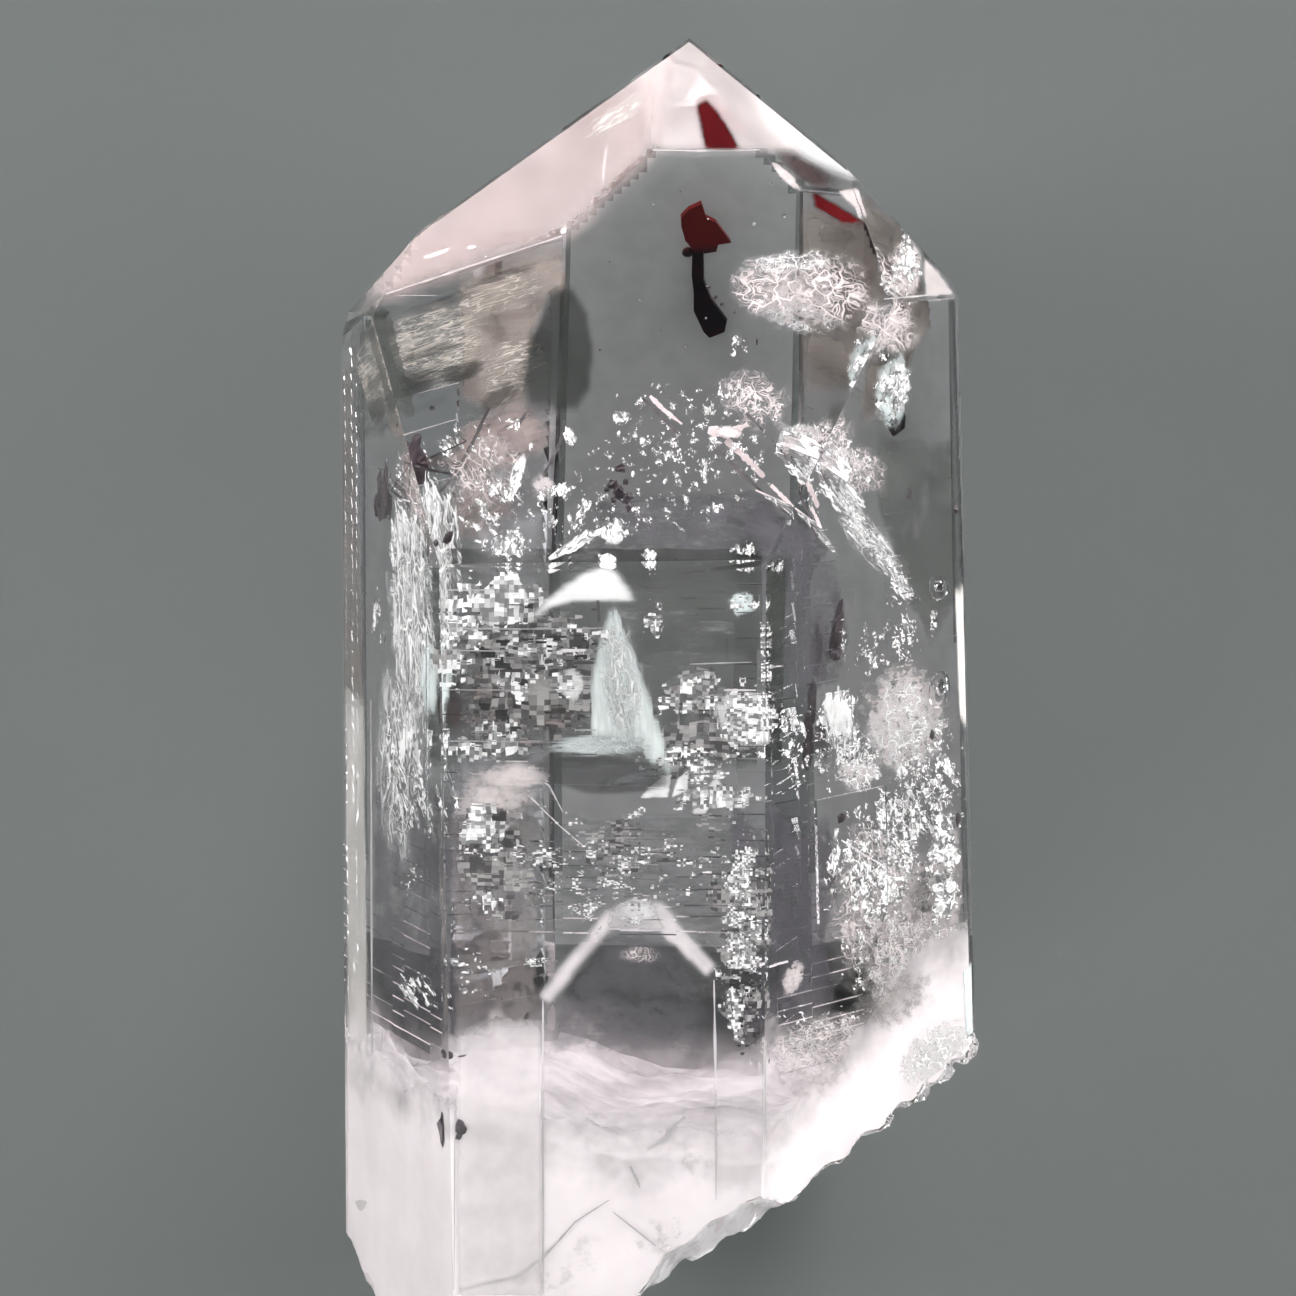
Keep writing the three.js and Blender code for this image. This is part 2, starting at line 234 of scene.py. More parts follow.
def face_frame(face):
    """A prism face's foot at y = 0, and its outward, along and across directions."""
    azimuth, _distance, _lean = PRISM_FACES[face]
    normal, offset = PLANES[face]
    a = math.radians(azimuth)
    across = np.array([math.cos(a), 0, -math.sin(a)])
    along = -np.cross(across, normal)
    foot = normal * offset
    foot = foot - along * (foot[1] / along[1])
    return foot, normal, along, across


def prism_on_face(face, outline, from_across, to_across):
    """A bar on a face: its outline in (outwards, along), and how far it runs across the face."""
    foot, normal, along, across = face_frame(face)
    vertices = []
    for side in (from_across, to_across):
        for out, up in outline:
            vertices.append(foot + normal * out + along * up + across * side)
    count = len(outline)
    faces = [tuple(range(count)), tuple(range(2 * count - 1, count - 1, -1))]
    for i in range(count):
        j = (i + 1) % count
        faces.append((i, i + count, j + count, j))
    obj = object_from("bar", vertices, faces)
    work = bmesh.new()
    work.from_mesh(obj.data)
    bmesh.ops.triangulate(work, faces=work.faces)
    bmesh.ops.recalc_face_normals(work, faces=work.faces)
    work.to_mesh(obj.data)
    work.free()
    return obj


# Growth relief on the prism faces

# Each face: top and bottom of its ledges, ledges from top to bottom, height, columns across, seed
LEDGES = [
    ("front", -0.4, -21, 24, 0.07, 15, 3),
    ("front_right", 3.5, -29, 36, 0.05, 6, 11),
    ("front_left", 4.5, -28, 36, 0.05, 7, 23),
    ("back_left", 11.2, -34, 48, 0.3, 4, 31),
    ("back_right", 8, -28, 20, 0.1, 3, 47),
]
LEDGE_ROOT = 0.6
LEDGE_RISER = 0.07
LEDGE_TREAD = 0.012
# How far a ledge strays from its place, and the least height and what varies on top of it, as shares
LEDGE_STRAY = 0.35
LEDGE_HEIGHTS = (0.45, 0.55)
COLUMN_STRAY = 0.7
COLUMN_HEIGHTS = (0.35, 0.65)
COLUMN_DROP = 2
COLUMN_LAP = 0.01
HALF_FACE = 10.5

# Raised plates: face, middle across and along it, width, length and height
PLATES = [
    ("front", -6.2, -3.6, 4.2, 2.6, 0.14),
    ("front", -1.6, -2.6, 3.4, 1.8, 0.1),
    ("front", 3.9, -5.2, 5.6, 3.2, 0.12),
    ("front", -4.8, -8.2, 6.0, 2.4, 0.18),
    ("front", 5.2, -10.6, 4.0, 3.4, 0.16),
    ("front", -0.6, -13.6, 5.2, 2.8, 0.12),
    ("front_left", 5.6, -6.5, 5.0, 17, 0.08),
    ("front_right", -3.5, -17, 6.5, 7, 0.2),
    ("back_right", -5.5, -14, 7, 12, 0.25),
    ("back_left", -3, -22, 9, 9, 0.3),
]


def ledge_outline(top, bottom, count, height, seed):
    """The side view of a column of ledges, in (outwards, along)."""
    pitch = (top - bottom) / count
    least, varies = LEDGE_HEIGHTS
    outline = [(-LEDGE_ROOT, top)]
    for i in range(count):
        start = top - pitch * (i + LEDGE_STRAY * wave(seed + i))
        rise = height * (least + varies * wave(seed * 2 + i))
        outline.append((LEDGE_TREAD, start))
        outline.append((rise, start - LEDGE_RISER))
    outline.append((LEDGE_TREAD, bottom))
    outline.append((-LEDGE_ROOT, bottom))
    return outline


def column_edges(columns, seed):
    """Where the columns of ledges meet, across a face."""
    edges = [-HALF_FACE]
    for k in range(1, columns):
        shift = COLUMN_STRAY * (wave(seed * 5 + k) - 0.5)
        edges.append(HALF_FACE * (2 * (k + shift) / columns - 1))
    return edges + [HALF_FACE]


def grow(crystal, face, outline, from_across, to_across):
    """Fuses a bar on a face to the crystal."""
    bar = prism_on_face(face, outline, from_across, to_across)
    combine(crystal, combine(bar, trim_solid(face), "INTERSECT"), "UNION")


def add_relief(crystal):
    least, varies = COLUMN_HEIGHTS
    for face, top, bottom, count, height, columns, seed in LEDGES:
        edges = column_edges(columns, seed)
        for k in range(columns):
            share = least + varies * wave(seed * 7 + k)
            start = top - COLUMN_DROP * wave(seed + 9 * k)
            outline = ledge_outline(start, bottom, count + k % 5, height * share, seed + 17 * k)
            grow(crystal, face, outline, edges[k], edges[k + 1] + COLUMN_LAP)
    for face, across, along, width, length, height in PLATES:
        low, high = along - length / 2, along + length / 2
        outline = [(-LEDGE_ROOT, low), (height, low), (height, high), (-LEDGE_ROOT, high)]
        grow(crystal, face, outline, across - width / 2, across + width / 2)


# The broken base

BREAK_CELLS = 110
BREAK_SIZE = 46.0
# Slopes of the break: a place along x, the height there, and the rise along x
BREAK_SLOPES = [(0, -41.8, 0.64), (-16, -44.3, -1.12), (0, -46.4, 0)]
BREAK_SOFTNESS = 1.1
TERRACE_RISE = 1.5
TERRACE_SHARE = 0.3
TERRACE_EDGE = (0.55, 0.95)
TERRACE_TILT = 0.05
TERRACE_BEND, TERRACE_BEND_BY_Z = 0.5, 0.31
RIPPLE_MIDDLE = (6, 15)
RIPPLE_HEIGHT, RIPPLE_PITCH, RIPPLE_BEND_BY_X = 0.16, 2.6, 0.7
CHIP_LEFT, CHIP_RIGHT = (1.5, 3.5), (10, 12)
CHIP_FROM_Z, CHIP_SLOPE = 16.9, 0.75
GRAIN_WAVES = [(0.06, 7.3, -5.1, 0), (0.05, 2.3, 8.9, 0)]


def break_height(x, z):
    """Height of the broken surface, for arrays of x and z."""
    slopes = np.array([height + rise * (x - place) for place, height, rise in BREAK_SLOPES])
    peak = slopes.max(axis=0)
    main = peak + BREAK_SOFTNESS * np.log(np.exp((slopes - peak) / BREAK_SOFTNESS).sum(axis=0))
    steps = (main + TERRACE_TILT * z + TERRACE_BEND * np.sin(z * TERRACE_BEND_BY_Z)) / TERRACE_RISE
    part = steps - np.floor(steps)
    terrace = (smooth_step(*TERRACE_EDGE, part) - part) * TERRACE_RISE * TERRACE_SHARE
    distance = np.hypot(x - RIPPLE_MIDDLE[0], z - RIPPLE_MIDDLE[1])
    bend = np.sin(x * RIPPLE_BEND_BY_X)
    ripple = RIPPLE_HEIGHT * np.sin(distance * 2 * math.pi / RIPPLE_PITCH + bend)
    chip_across = smooth_step(*CHIP_LEFT, x) * (1 - smooth_step(*CHIP_RIGHT, x))
    chip = chip_across * CHIP_SLOPE * np.maximum(0, z - CHIP_FROM_Z)
    return main + terrace + ripple + chip


def break_grain(x, z):
    """Fine roughness of the break, on top of its main form."""
    bumps = 0.1 * np.sin(x * 3.1 + 1.7 * np.sin(z * 1.3)) * np.sin(z * 2.7 + x)
    return waves(x, z, GRAIN_WAVES, bumps)


def break_surface(x, z):
    return break_height(x, z) + break_grain(x, z)


def grid_corners(rows):
    """The quads of a square grid of points, as numbers of their corners."""
    corner = (np.arange(rows - 1)[:, None] * rows + np.arange(rows - 1)).ravel()
    return np.stack([corner, corner + rows, corner + rows + 1, corner + 1], axis=1)


def height_block(name, height, low_end, cells):
    """A block under a surface y = height(x, z), down to low_end."""
    rows = cells + 1
    steps = (np.arange(rows) / cells - 0.5) * BREAK_SIZE
    x, z = np.meshgrid(steps, steps, indexing="ij")
    upper = np.stack([x, height(x, z), z], axis=-1).reshape(-1, 3)
    lower = np.stack([x, np.full_like(x, low_end), z], axis=-1).reshape(-1, 3)
    under = rows * rows
    quads = grid_corners(rows)
    top, bottom = quads[:, [[0, 3, 2], [0, 2, 1]]], under + quads[:, [[0, 1, 2], [0, 2, 3]]]
    faces = np.concatenate([top, bottom], axis=1).reshape(-1, 3).tolist()
    # the four walls: where each starts, its step, and the corners of a quad from there
    walls = [
        (0, 1, (0, under, under + 1, 1)),
        (cells * rows, 1, (0, 1, under + 1, under)),
        (0, rows, (0, rows, under + rows, under)),
        (cells, rows, (0, under, under + rows, rows)),
    ]
    for k in range(cells):
        for start, step, corners in walls:
            a, b, c, d = (start + k * step + corner for corner in corners)
            faces += [(a, b, c), (a, c, d)]
    return object_from(name, np.vstack([upper, lower]), faces)


# Lumps that stand on the edge of the break: x, y, z and radius
BASE_LUMPS = [
    (17.9, -29.9, 1.6, 1.0),
    (17.0, -30.9, 3.5, 0.65),
    (16.7, -30.3, -0.9, 0.9),
    (15.6, -31.5, 5.6, 0.9),
    (16.3, -31.4, 1.2, 0.8),
    (14.1, -32.7, 8.6, 0.6),
    (15.2, -31.7, -3.1, 0.75),
    (14.6, -32.4, 2.6, 0.9),
]
LUMP_SUBDIVISIONS = 3
LUMP_DENT = 0.12
LUMP_GRAIN = 0.06


def lump(x, y, z, radius, seed):
    work = bmesh.new()
    bmesh.ops.create_icosphere(work, subdivisions=LUMP_SUBDIVISIONS, radius=radius)
    for vert in work.verts:
        out = vert.co.normalized()
        dent = LUMP_DENT * math.sin(out.x * 7 + seed) * math.sin(out.y * 6 + seed * 2)
        dent += LUMP_GRAIN * math.sin(out.z * 13 + seed)
        vert.co += out * radius * dent
        vert.co += Vector((x, y, z))
    return object_of("lump", work)


def crystal_piece():
    crystal = solid_inside(PLANES)
    add_relief(crystal)
    broken_off = height_block("broken_off", break_surface, BLOCK_END_Y, BREAK_CELLS)
    combine(crystal, broken_off, "DIFFERENCE")
    for seed, place in enumerate(BASE_LUMPS):
        combine(crystal, lump(*place, seed), "UNION")
    crystal.name = "quartz_crystal"
    crystal.data.name = "quartz_crystal"
    return crystal


def is_inside(points, margin):
    """Which points lie in the quartz, at least so far from its faces and its break."""
    kept = np.ones(len(points), bool)
    for normal, offset in PLANES.values():
        kept &= points @ normal <= offset - margin
    kept &= points[:, 1] >= break_height(points[:, 0], points[:, 2]) + margin * 2
    return kept


# Materials

QUARTZ_TINT = (0.9, 0.865, 0.9, 1)
QUARTZ_ABSORPTION = 14.0
HEMATITE_RED_FROM = (10.0, 11.4)
HEMATITE_SHADES = [(0.25, (0.004, 0.003, 0.004)), (1.0, (0.055, 0.003, 0.003))]
FLOOR_SHADES = {"A": (0.091, 0.099, 0.0965, 1), "B": (0.096, 0.104, 0.1015, 1)}
# Sizes of the noise in solid colours: the larger, the finer
HEMATITE_NOISE, PLAIN_NOISE, BACK_NOISE, MILK_NOISE, FLOOR_NOISE = 900.0, 600.0, 500.0, 230.0, 40.0
GRAIN_DARKENS_TO = 0.8


def fill(tree, node, inputs):
    """Fills a node's inputs. A socket is linked, anything else is a value."""
    for key, value in inputs.items():
        if isinstance(value, bpy.types.NodeSocket):
            tree.links.new(value, node.inputs[key])
        else:
            node.inputs[key].default_value = value


def joined(tree, kind, inputs, **settings):
    """A new node of a kind, with its settings and inputs."""
    node = tree.nodes.new(kind)
    for key, value in settings.items():
        setattr(node, key, value)
    fill(tree, node, inputs)
    return node


def new_material(name):
    material = bpy.data.materials.new(name)
    material.use_nodes = True
    material.use_transparent_shadow = False
    return material, material.node_tree, material.node_tree.nodes["Principled BSDF"]


def object_place(tree):
    return joined(tree, "ShaderNodeTexCoord", {}).outputs["Object"]


def calc(tree, operation, *values):
    return joined(tree, "ShaderNodeMath", dict(enumerate(values)), operation=operation).outputs[0]


def vector_calc(tree, operation, *values):
    return joined(tree, "ShaderNodeVectorMath", dict(enumerate(values)), operation=operation).outputs[0]


def spread(tree, value, low, high, to_low=0.0, to_high=1.0, steps="SMOOTHSTEP"):
    """The value's span from low to high, drawn out to another span."""
    inputs = {"Value": value, "From Min": low, "From Max": high, "To Min": to_low, "To Max": to_high}
    return joined(tree, "ShaderNodeMapRange", inputs, interpolation_type=steps).outputs["Result"]


def colour_between(tree, value, *ends):
    """A colour that follows the value between two ends, each a value and a colour."""
    ramp = joined(tree, "ShaderNodeValToRGB", {"Fac": value})
    for element, (position, colour) in zip(ramp.color_ramp.elements, ends):
        element.position = position
        element.color = (*colour, 1)
    return ramp.outputs["Color"]


def clear_material(name, index):
    """Clear, and bends light by the index."""
    material, tree, shader = new_material(name)
    clear = {"Base Color": (1, 1, 1, 1), "Transmission Weight": 1.0, "Roughness": 0.0, "IOR": index}
    fill(tree, shader, clear)
    return material


def quartz_material():
    """Clear quartz, with a breath of pink in its depth."""
    material = clear_material("clear_quartz", QUARTZ_IOR)
    tree = material.node_tree
    inputs = {"Color": QUARTZ_TINT, "Density": QUARTZ_ABSORPTION}
    absorb = joined(tree, "ShaderNodeVolumeAbsorption", inputs)
    fill(tree, tree.nodes["Material Output"], {"Volume": absorb.outputs["Volume"]})
    return material


# The patterns of thin sheets in the quartz. Each gives how much shows at a place, and how bright it is.

# What the cover, the clump and the large and small cells count, and the sum at which a cell is kept
COVER_COUNTS, CLUMP_COUNTS, LARGE_COUNTS, SMALL_COUNTS = 1.8, 3.0, 0.8, 0.7
KEPT_FROM = 3.1
KEPT_EDGE = 0.04
# How far the cells' brightness spreads, and the values that it becomes: painted glints, a few cells bright
# as if they caught the light and the rest grey or dark
PAINTED_GLINT_SHADES = (0.45, 1.4, 0.15, 1.0)
BLOCK_SIZES = [(0.8, 0.4, 1.0), (0.3, 0.2, 1.0)]


def noise_at(tree, place, scale, detail=2.0, roughness=0.5, dimensions="2D"):
    inputs = {"Vector": place, "Scale": scale, "Detail": detail, "Roughness": roughness}
    return joined(tree, "ShaderNodeTexNoise", inputs, noise_dimensions=dimensions).outputs


def wandering(tree, place, scale, amount):
    """The place, moved about by a slow noise."""
    shift = noise_at(tree, place, scale, 1.0)["Color"]
    return vector_calc(tree, "MULTIPLY_ADD", shift, (amount, amount, 0), place)


def cells_at(tree, place, scale, feature="F1"):
    inputs = {"Vector": place, "Scale": scale}
    settings = {"voronoi_dimensions": "2D", "feature": feature}
    return joined(tree, "ShaderNodeTexVoronoi", inputs, **settings).outputs


def kept_cells(tree, cover, clump, large, small):
    """Shows whole cells, more of them where the cover is high, and makes each one dark, grey or bright:
    painted glints of cells that catch the light or not.
    """
    large = joined(tree, "ShaderNodeSeparateColor", {"Color": large}).outputs
    small = joined(tree, "ShaderNodeSeparateColor", {"Color": small}).outputs
    value = calc(tree, "MULTIPLY_ADD", cover, COVER_COUNTS, -KEPT_FROM)
    value = calc(tree, "MULTIPLY_ADD", clump, CLUMP_COUNTS, value)
    value = calc(tree, "MULTIPLY_ADD", large["Red"], LARGE_COUNTS, value)
    value = calc(tree, "MULTIPLY_ADD", small["Red"], SMALL_COUNTS, value)
    glint_mix = calc(tree, "MULTIPLY_ADD", large["Green"], LARGE_COUNTS, small["Green"])
    return spread(tree, value, -KEPT_EDGE, KEPT_EDGE), spread(tree, glint_mix, *PAINTED_GLINT_SHADES)


def facets(tree, grain, cover):
    """Ragged little facets, as in a healed crack, with painted glints."""
    clump = noise_at(tree, grain, scale=0.3)["Fac"]
    place = wandering(tree, grain, scale=0.8, amount=1.3)
    large, small = (cells_at(tree, place, scale)["Color"] for scale in (1.0, 2.7))
    return kept_cells(tree, cover, clump, large, small)


def squares(tree, grain, cover):
    """Blocks of growth layers, with sides along and across the crystal, with painted glints."""
    clump = noise_at(tree, grain, scale=0.3)["Fac"]
    place = wandering(tree, grain, scale=0.9, amount=0.3)
    colours = []
    for block in BLOCK_SIZES:
        snapped = vector_calc(tree, "SNAP", place, block)
        cells = joined(tree, "ShaderNodeTexWhiteNoise", {"Vector": snapped}, noise_dimensions="2D")
        colours.append(cells.outputs["Color"])
    return kept_cells(tree, cover, clump, *colours)


def billows(tree, grain, scale):
    return noise_at(tree, grain, scale, detail=3.0, roughness=0.62)["Fac"]


def ragged(tree, cover, billow):
    """The cover with its edge broken up by billows."""
    edge = spread(tree, calc(tree, "MULTIPLY_ADD", cover, 0.6, billow), 0.55, 0.85)
    return calc(tree, "MULTIPLY", cover, edge)


def net(tree, place, scale, width, strength):
    """Threads along the borders of cells."""
    distance = cells_at(tree, place, scale, "DISTANCE_TO_EDGE")["Distance"]
    return spread(tree, distance, 0.0, width, strength, 0.0)


def threads(tree, grain, cover):
    """Lacy threads with a thin cloud between them."""
    place = wandering(tree, grain, scale=0.7, amount=2.4)
    coarse = net(tree, place, scale=0.6, width=0.13, strength=1.0)
    fine = net(tree, place, scale=1.9, width=0.18, strength=0.75)
    billow = billows(tree, grain, 0.55)
    between = spread(tree, billow, 0.45, 0.68, 0.12, 0.6)
    thread = calc(tree, "MAXIMUM", coarse, fine)
    thick = calc(tree, "MINIMUM", calc(tree, "MULTIPLY_ADD", thread, 0.75, between), 1.0)
    shown = calc(tree, "MULTIPLY", thick, ragged(tree, cover, billow))
    return shown, calc(tree, "MULTIPLY_ADD", thread, 0.5, 0.5)


def clouds(tree, grain, cover):
    """Soft billows with ragged edges. A grain that is drawn out makes them streaks."""
    billow = billows(tree, grain, 1.0)
    return ragged(tree, cover, billow), spread(tree, billow, 0.3, 0.7, 0.75, 1.0)


def films(tree, grain, cover):
    """Smooth, nearly even films."""
    billow = noise_at(tree, grain, scale=0.6)["Fac"]
    shown = calc(tree, "MULTIPLY", cover, spread(tree, billow, 0.2, 0.8, 0.88, 1.0))
    return shown, spread(tree, billow, 0.3, 0.7, 0.92, 1.0)


def veil_material(name, pattern, roughness):
    """A thin sheet. Its mesh says how much it covers, in what tint and with what grain, at each point."""
    material, tree, shader = new_material(name)

    def from_mesh(key, output):
        return joined(tree, "ShaderNodeAttribute", {}, attribute_name=key).outputs[output]

    shown, bright = pattern(tree, from_mesh("grain", "Vector"), from_mesh("cover", "Fac"))
    shade = joined(tree, "ShaderNodeCombineXYZ", {"X": bright, "Y": bright, "Z": bright}).outputs[0]
    colour = vector_calc(tree, "MULTIPLY", from_mesh("tint", "Vector"), shade)
    fill(tree, shader, {
        "Base Color": colour,
        "Alpha": shown,
        "Roughness": roughness,
        "Specular IOR Level": 0.0,
    })
    return material


# Solid colours

def plain_material(name, colour, roughness):
    """A colour with fine natural grain in it."""
    material, tree, shader = new_material(name)
    grain = noise_at(tree, object_place(tree), PLAIN_NOISE, detail=4.0, dimensions="3D")["Fac"]
    darker = [channel * GRAIN_DARKENS_TO for channel in colour]
    mottled = colour_between(tree, grain, (0.3, darker), (0.7, colour))
    fill(tree, shader, {"Base Color": mottled, "Roughness": roughness})
    return material


def hematite_material():
    """Dark red plate that goes black towards the blade."""
    material, tree, shader = new_material("hematite")
    place = object_place(tree)
    height = joined(tree, "ShaderNodeSeparateXYZ", {"Vector": place}).outputs["Y"]
    black_below, red_above = ((y + AXIS[1]) * MM for y in HEMATITE_RED_FROM)
    redness = spread(tree, height, black_below, red_above, steps="LINEAR")
    grain = noise_at(tree, place, HEMATITE_NOISE, dimensions="3D")["Fac"]
    colour = colour_between(tree, calc(tree, "MULTIPLY_ADD", grain, 0.5, redness), *HEMATITE_SHADES)
    fill(tree, shader, {"Base Color": colour, "Roughness": 0.35, "Specular IOR Level": 0.03})
    return material


def floor_material():
    material, tree, shader = new_material("pale_floor")
    grain = joined(tree, "ShaderNodeTexNoise", {"Scale": FLOOR_NOISE}).outputs["Fac"]
    mix = joined(tree, "ShaderNodeMix", {**FLOOR_SHADES, "Factor": grain}, data_type="RGBA")
    fill(tree, shader, {"Base Color": mix.outputs["Result"], "Roughness": 1.0, "Specular IOR Level": 0.0})
    return material


# Meshes of many small faces

def faces_mesh(name, corners, material):
    """One mesh from an array of separate faces: count, corners of each, xyz."""
    count, sides, _xyz = corners.shape
    mesh = bpy.data.meshes.new(name)
    mesh.vertices.add(count * sides)
    mesh.vertices.foreach_set("co", corners.reshape(-1).astype(np.float32))
    mesh.loops.add(count * sides)
    mesh.loops.foreach_set("vertex_index", np.arange(count * sides, dtype=np.int32))
    mesh.polygons.add(count)
    mesh.polygons.foreach_set("loop_start", np.arange(0, count * sides, sides, dtype=np.int32))
    mesh.polygons.foreach_set("loop_total", np.full(count, sides, dtype=np.int32))
    mesh.update(calc_edges=True)
    mesh.materials.append(material)
    return new_object(name, mesh)


def grid_quads(points):
    """The corners of each quad in a grid of points."""
    corners = [points[:-1, :-1], points[1:, :-1], points[1:, 1:], points[:-1, 1:]]
    return np.stack(corners, axis=2).reshape(-1, 4, 3)


def quads_inside(quads, margin):
    """The quads that lie in the quartz with all their corners."""
    return quads[is_inside(quads.reshape(-1, 3), margin).reshape(-1, 4).all(axis=1)]


# Milky quartz

# Shells: inset from the faces, level where it starts to show, level where it is dense
MILK_SHELLS = [(0.35, -29.5, -37.0), (4.0, -30.5, -37.0)]
MILK_LEVELS = [-33.2, -35.0]
MILK_LAYER_SPAN = (-30.0, -36.0)
MILK_LAYER_CELLS = 43
MILK_LAYER_REACH = 19
MILK_LAYER_MARGIN = 0.7
# Where it reaches higher, on the right flank and left of the phantom: from x to x, and how much
MILK_RISES = [((8.0, 17.5), 8.8), ((-1.5, -6.5), 1.6)]
MILK_WAVES = [(1.5, 0.31, 0.17, 0), (1.1, -0.23, 0.4, 1.3), (0.7, 1.1, 0.9, 0), (0.4, 2.3, -1.9, 0)]
MILK_SWELL = 0.2
MILK_THINNING, MILK_CLOSING = -0.66, 1.5
MILK_OPEN_TO_DENSE = (-0.1, 1.0)
MILK_SHADES = [(0.3, (0.72, 0.665, 0.67)), (0.7, (0.82, 0.762, 0.766))]
SHELL_TOP_CELLS, SHELL_BOTTOM_CELLS = 60, 90


def milk_rise(x):
    """How much higher the milky quartz reaches at x, in mm."""
    return sum(rise * smooth_step(*span, x) for span, rise in MILK_RISES)


def milk_material(name, start, dense):
    """Milky quartz: pinkish white clouds that close up from the level start down to the level dense."""
    material, tree, shader = new_material(name)
    place = object_place(tree)
    cloud = noise_at(tree, place, MILK_NOISE, detail=3.0, roughness=0.62, dimensions="3D")["Fac"]
    split = joined(tree, "ShaderNodeSeparateXYZ", {"Vector": place}).outputs
    level = split["Y"]
    for span, rise in MILK_RISES:
        low, high = ((x + AXIS[0]) * MM for x in span)
        level = calc(tree, "SUBTRACT", level, spread(tree, split["X"], low, high, 0.0, rise * MM))
    high, low = ((y + AXIS[1]) * MM for y in (start, dense))
    closeness = spread(tree, level, high, low, steps="LINEAR")
    billow = calc(tree, "ADD", cloud, MILK_THINNING)
    billowed = calc(tree, "MULTIPLY_ADD", closeness, MILK_CLOSING, billow)
    fill(tree, shader, {
        "Base Color": colour_between(tree, cloud, *MILK_SHADES),
        "Alpha": spread(tree, billowed, *MILK_OPEN_TO_DENSE),
        "Roughness": 0.8,
    })
    return material


def milky_shell(number, inset, start, dense):
    """A shell inside the faces, open to the eye at its upper end and dense at the base."""
    shell = solid_inside({name: (normal, offset - inset) for name, (normal, offset) in PLANES.items()})

    def top(x, z):
        return start + 2.0 + milk_rise(x)

    def bottom(x, z):
        return break_height(x, z) + 0.1 + inset * 0.2

    combine(shell, height_block("shell_top", top, BLOCK_END_Y - 1, SHELL_TOP_CELLS), "INTERSECT")
    combine(shell, height_block("shell_bottom", bottom, BLOCK_END_Y - 2, SHELL_BOTTOM_CELLS), "DIFFERENCE")
    shell.name = f"milky_shell_{number}"
    shell.data.name = shell.name
    dress(shell, milk_material(f"milk_{number}", start, dense))
    return shell


def milky_layers(material):
    """Clouds across the crystal, one under the other, which close the milky quartz towards the point."""
    steps = np.linspace(-MILK_LAYER_REACH, MILK_LAYER_REACH, MILK_LAYER_CELLS + 1)
    x, z = np.meshgrid(steps, steps, indexing="ij")
    made = []
    for number, level in enumerate(MILK_LEVELS):
        y = level + milk_rise(x) + MILK_SWELL * waves(x + 3 * number, z, MILK_WAVES)
        made.append(quads_inside(grid_quads(np.stack([x, y, z], axis=-1)), MILK_LAYER_MARGIN))
    return faces_mesh("milky_layers", np.vstack(made), material)


# A frosted skin just inside the broken surface, and inside the back face that the crystal lies on a grey
# skin: painted light that lightens the shaded floor seen through the crystal

SKIN_DEPTH = 0.12
FROST = (0.93, 0.9, 0.9)
BREAK_SKIN_CELLS = 129
BREAK_SKIN_REACH = 20
# painted light: the grey of the skin that lightens the shaded floor seen through the crystal
BACK_WINDOW_LIGHT = (0.44, 0.455, 0.45, 1)
BACK_SKIN_COVER = (0.51, 0.56)
BACK_SKIN_X = (-9, 9, 37)
BACK_SKIN_Y = (-26, 18, 89)


def break_skin():
    steps = np.linspace(-BREAK_SKIN_REACH, BREAK_SKIN_REACH, BREAK_SKIN_CELLS + 1)
    x, z = np.meshgrid(steps, steps, indexing="ij")
    quads = grid_quads(np.stack([x, break_surface(x, z) + SKIN_DEPTH, z], axis=-1))
    room = (OFFSETS - quads.reshape(-1, 3) @ NORMALS.T).min(axis=1).reshape(-1, 4)
    kept = quads[(room > SKIN_DEPTH).all(axis=1)]
    return faces_mesh("break_skin", kept, plain_material("frost", FROST, 0.6))


def back_skin_material():
    # painted light: lightens the shaded floor seen through the crystal
    material, tree, shader = new_material("back_window_light")
    grain = noise_at(tree, object_place(tree), BACK_NOISE)["Fac"]
    fill(tree, shader, {
        "Base Color": BACK_WINDOW_LIGHT,
        "Alpha": spread(tree, grain, 0.3, 0.7, *BACK_SKIN_COVER),
        "Roughness": 0.8,
        "Specular IOR Level": 0.0,
    })
    return material


def back_skin():
    _normal, offset = PLANES["back"]
    x, y = np.meshgrid(np.linspace(*BACK_SKIN_X), np.linspace(*BACK_SKIN_Y), indexing="ij")
    quads = grid_quads(np.stack([x, y, np.full_like(x, SKIN_DEPTH - offset)], axis=-1))
    return faces_mesh("back_skin", quads_inside(quads, SKIN_DEPTH / 2), back_skin_material())


# Veils, clouds and healed cracks

WHITE = (1.0, 0.99, 0.98)
BLUE_WHITE = (0.88, 0.96, 0.95)
CREAM = (0.95, 0.91, 0.86)
STREAK_BEIGE = (0.55, 0.5, 0.45)
# painted reflections: pink light from the milky base, seen in the point's faces from inside
FACET_REFLECTION_PINK = (1.0, 0.8, 0.78)
APEX_REFLECTION_PINK = (1.0, 0.88, 0.87)
MID_GREY = (0.42, 0.4, 0.39)
PALE_PINK = (0.78, 0.7, 0.69)
MILK_PINK = (0.95, 0.885, 0.885)
PINK_GREY = (0.3, 0.255, 0.245)
ROSE_BROWN = (0.3, 0.235, 0.22)
# painted shade: a dark tone where clear quartz shows only shade behind it
SHADE_BROWN_GREY = (0.12, 0.104, 0.093)
BROWN = (0.05, 0.035, 0.035)
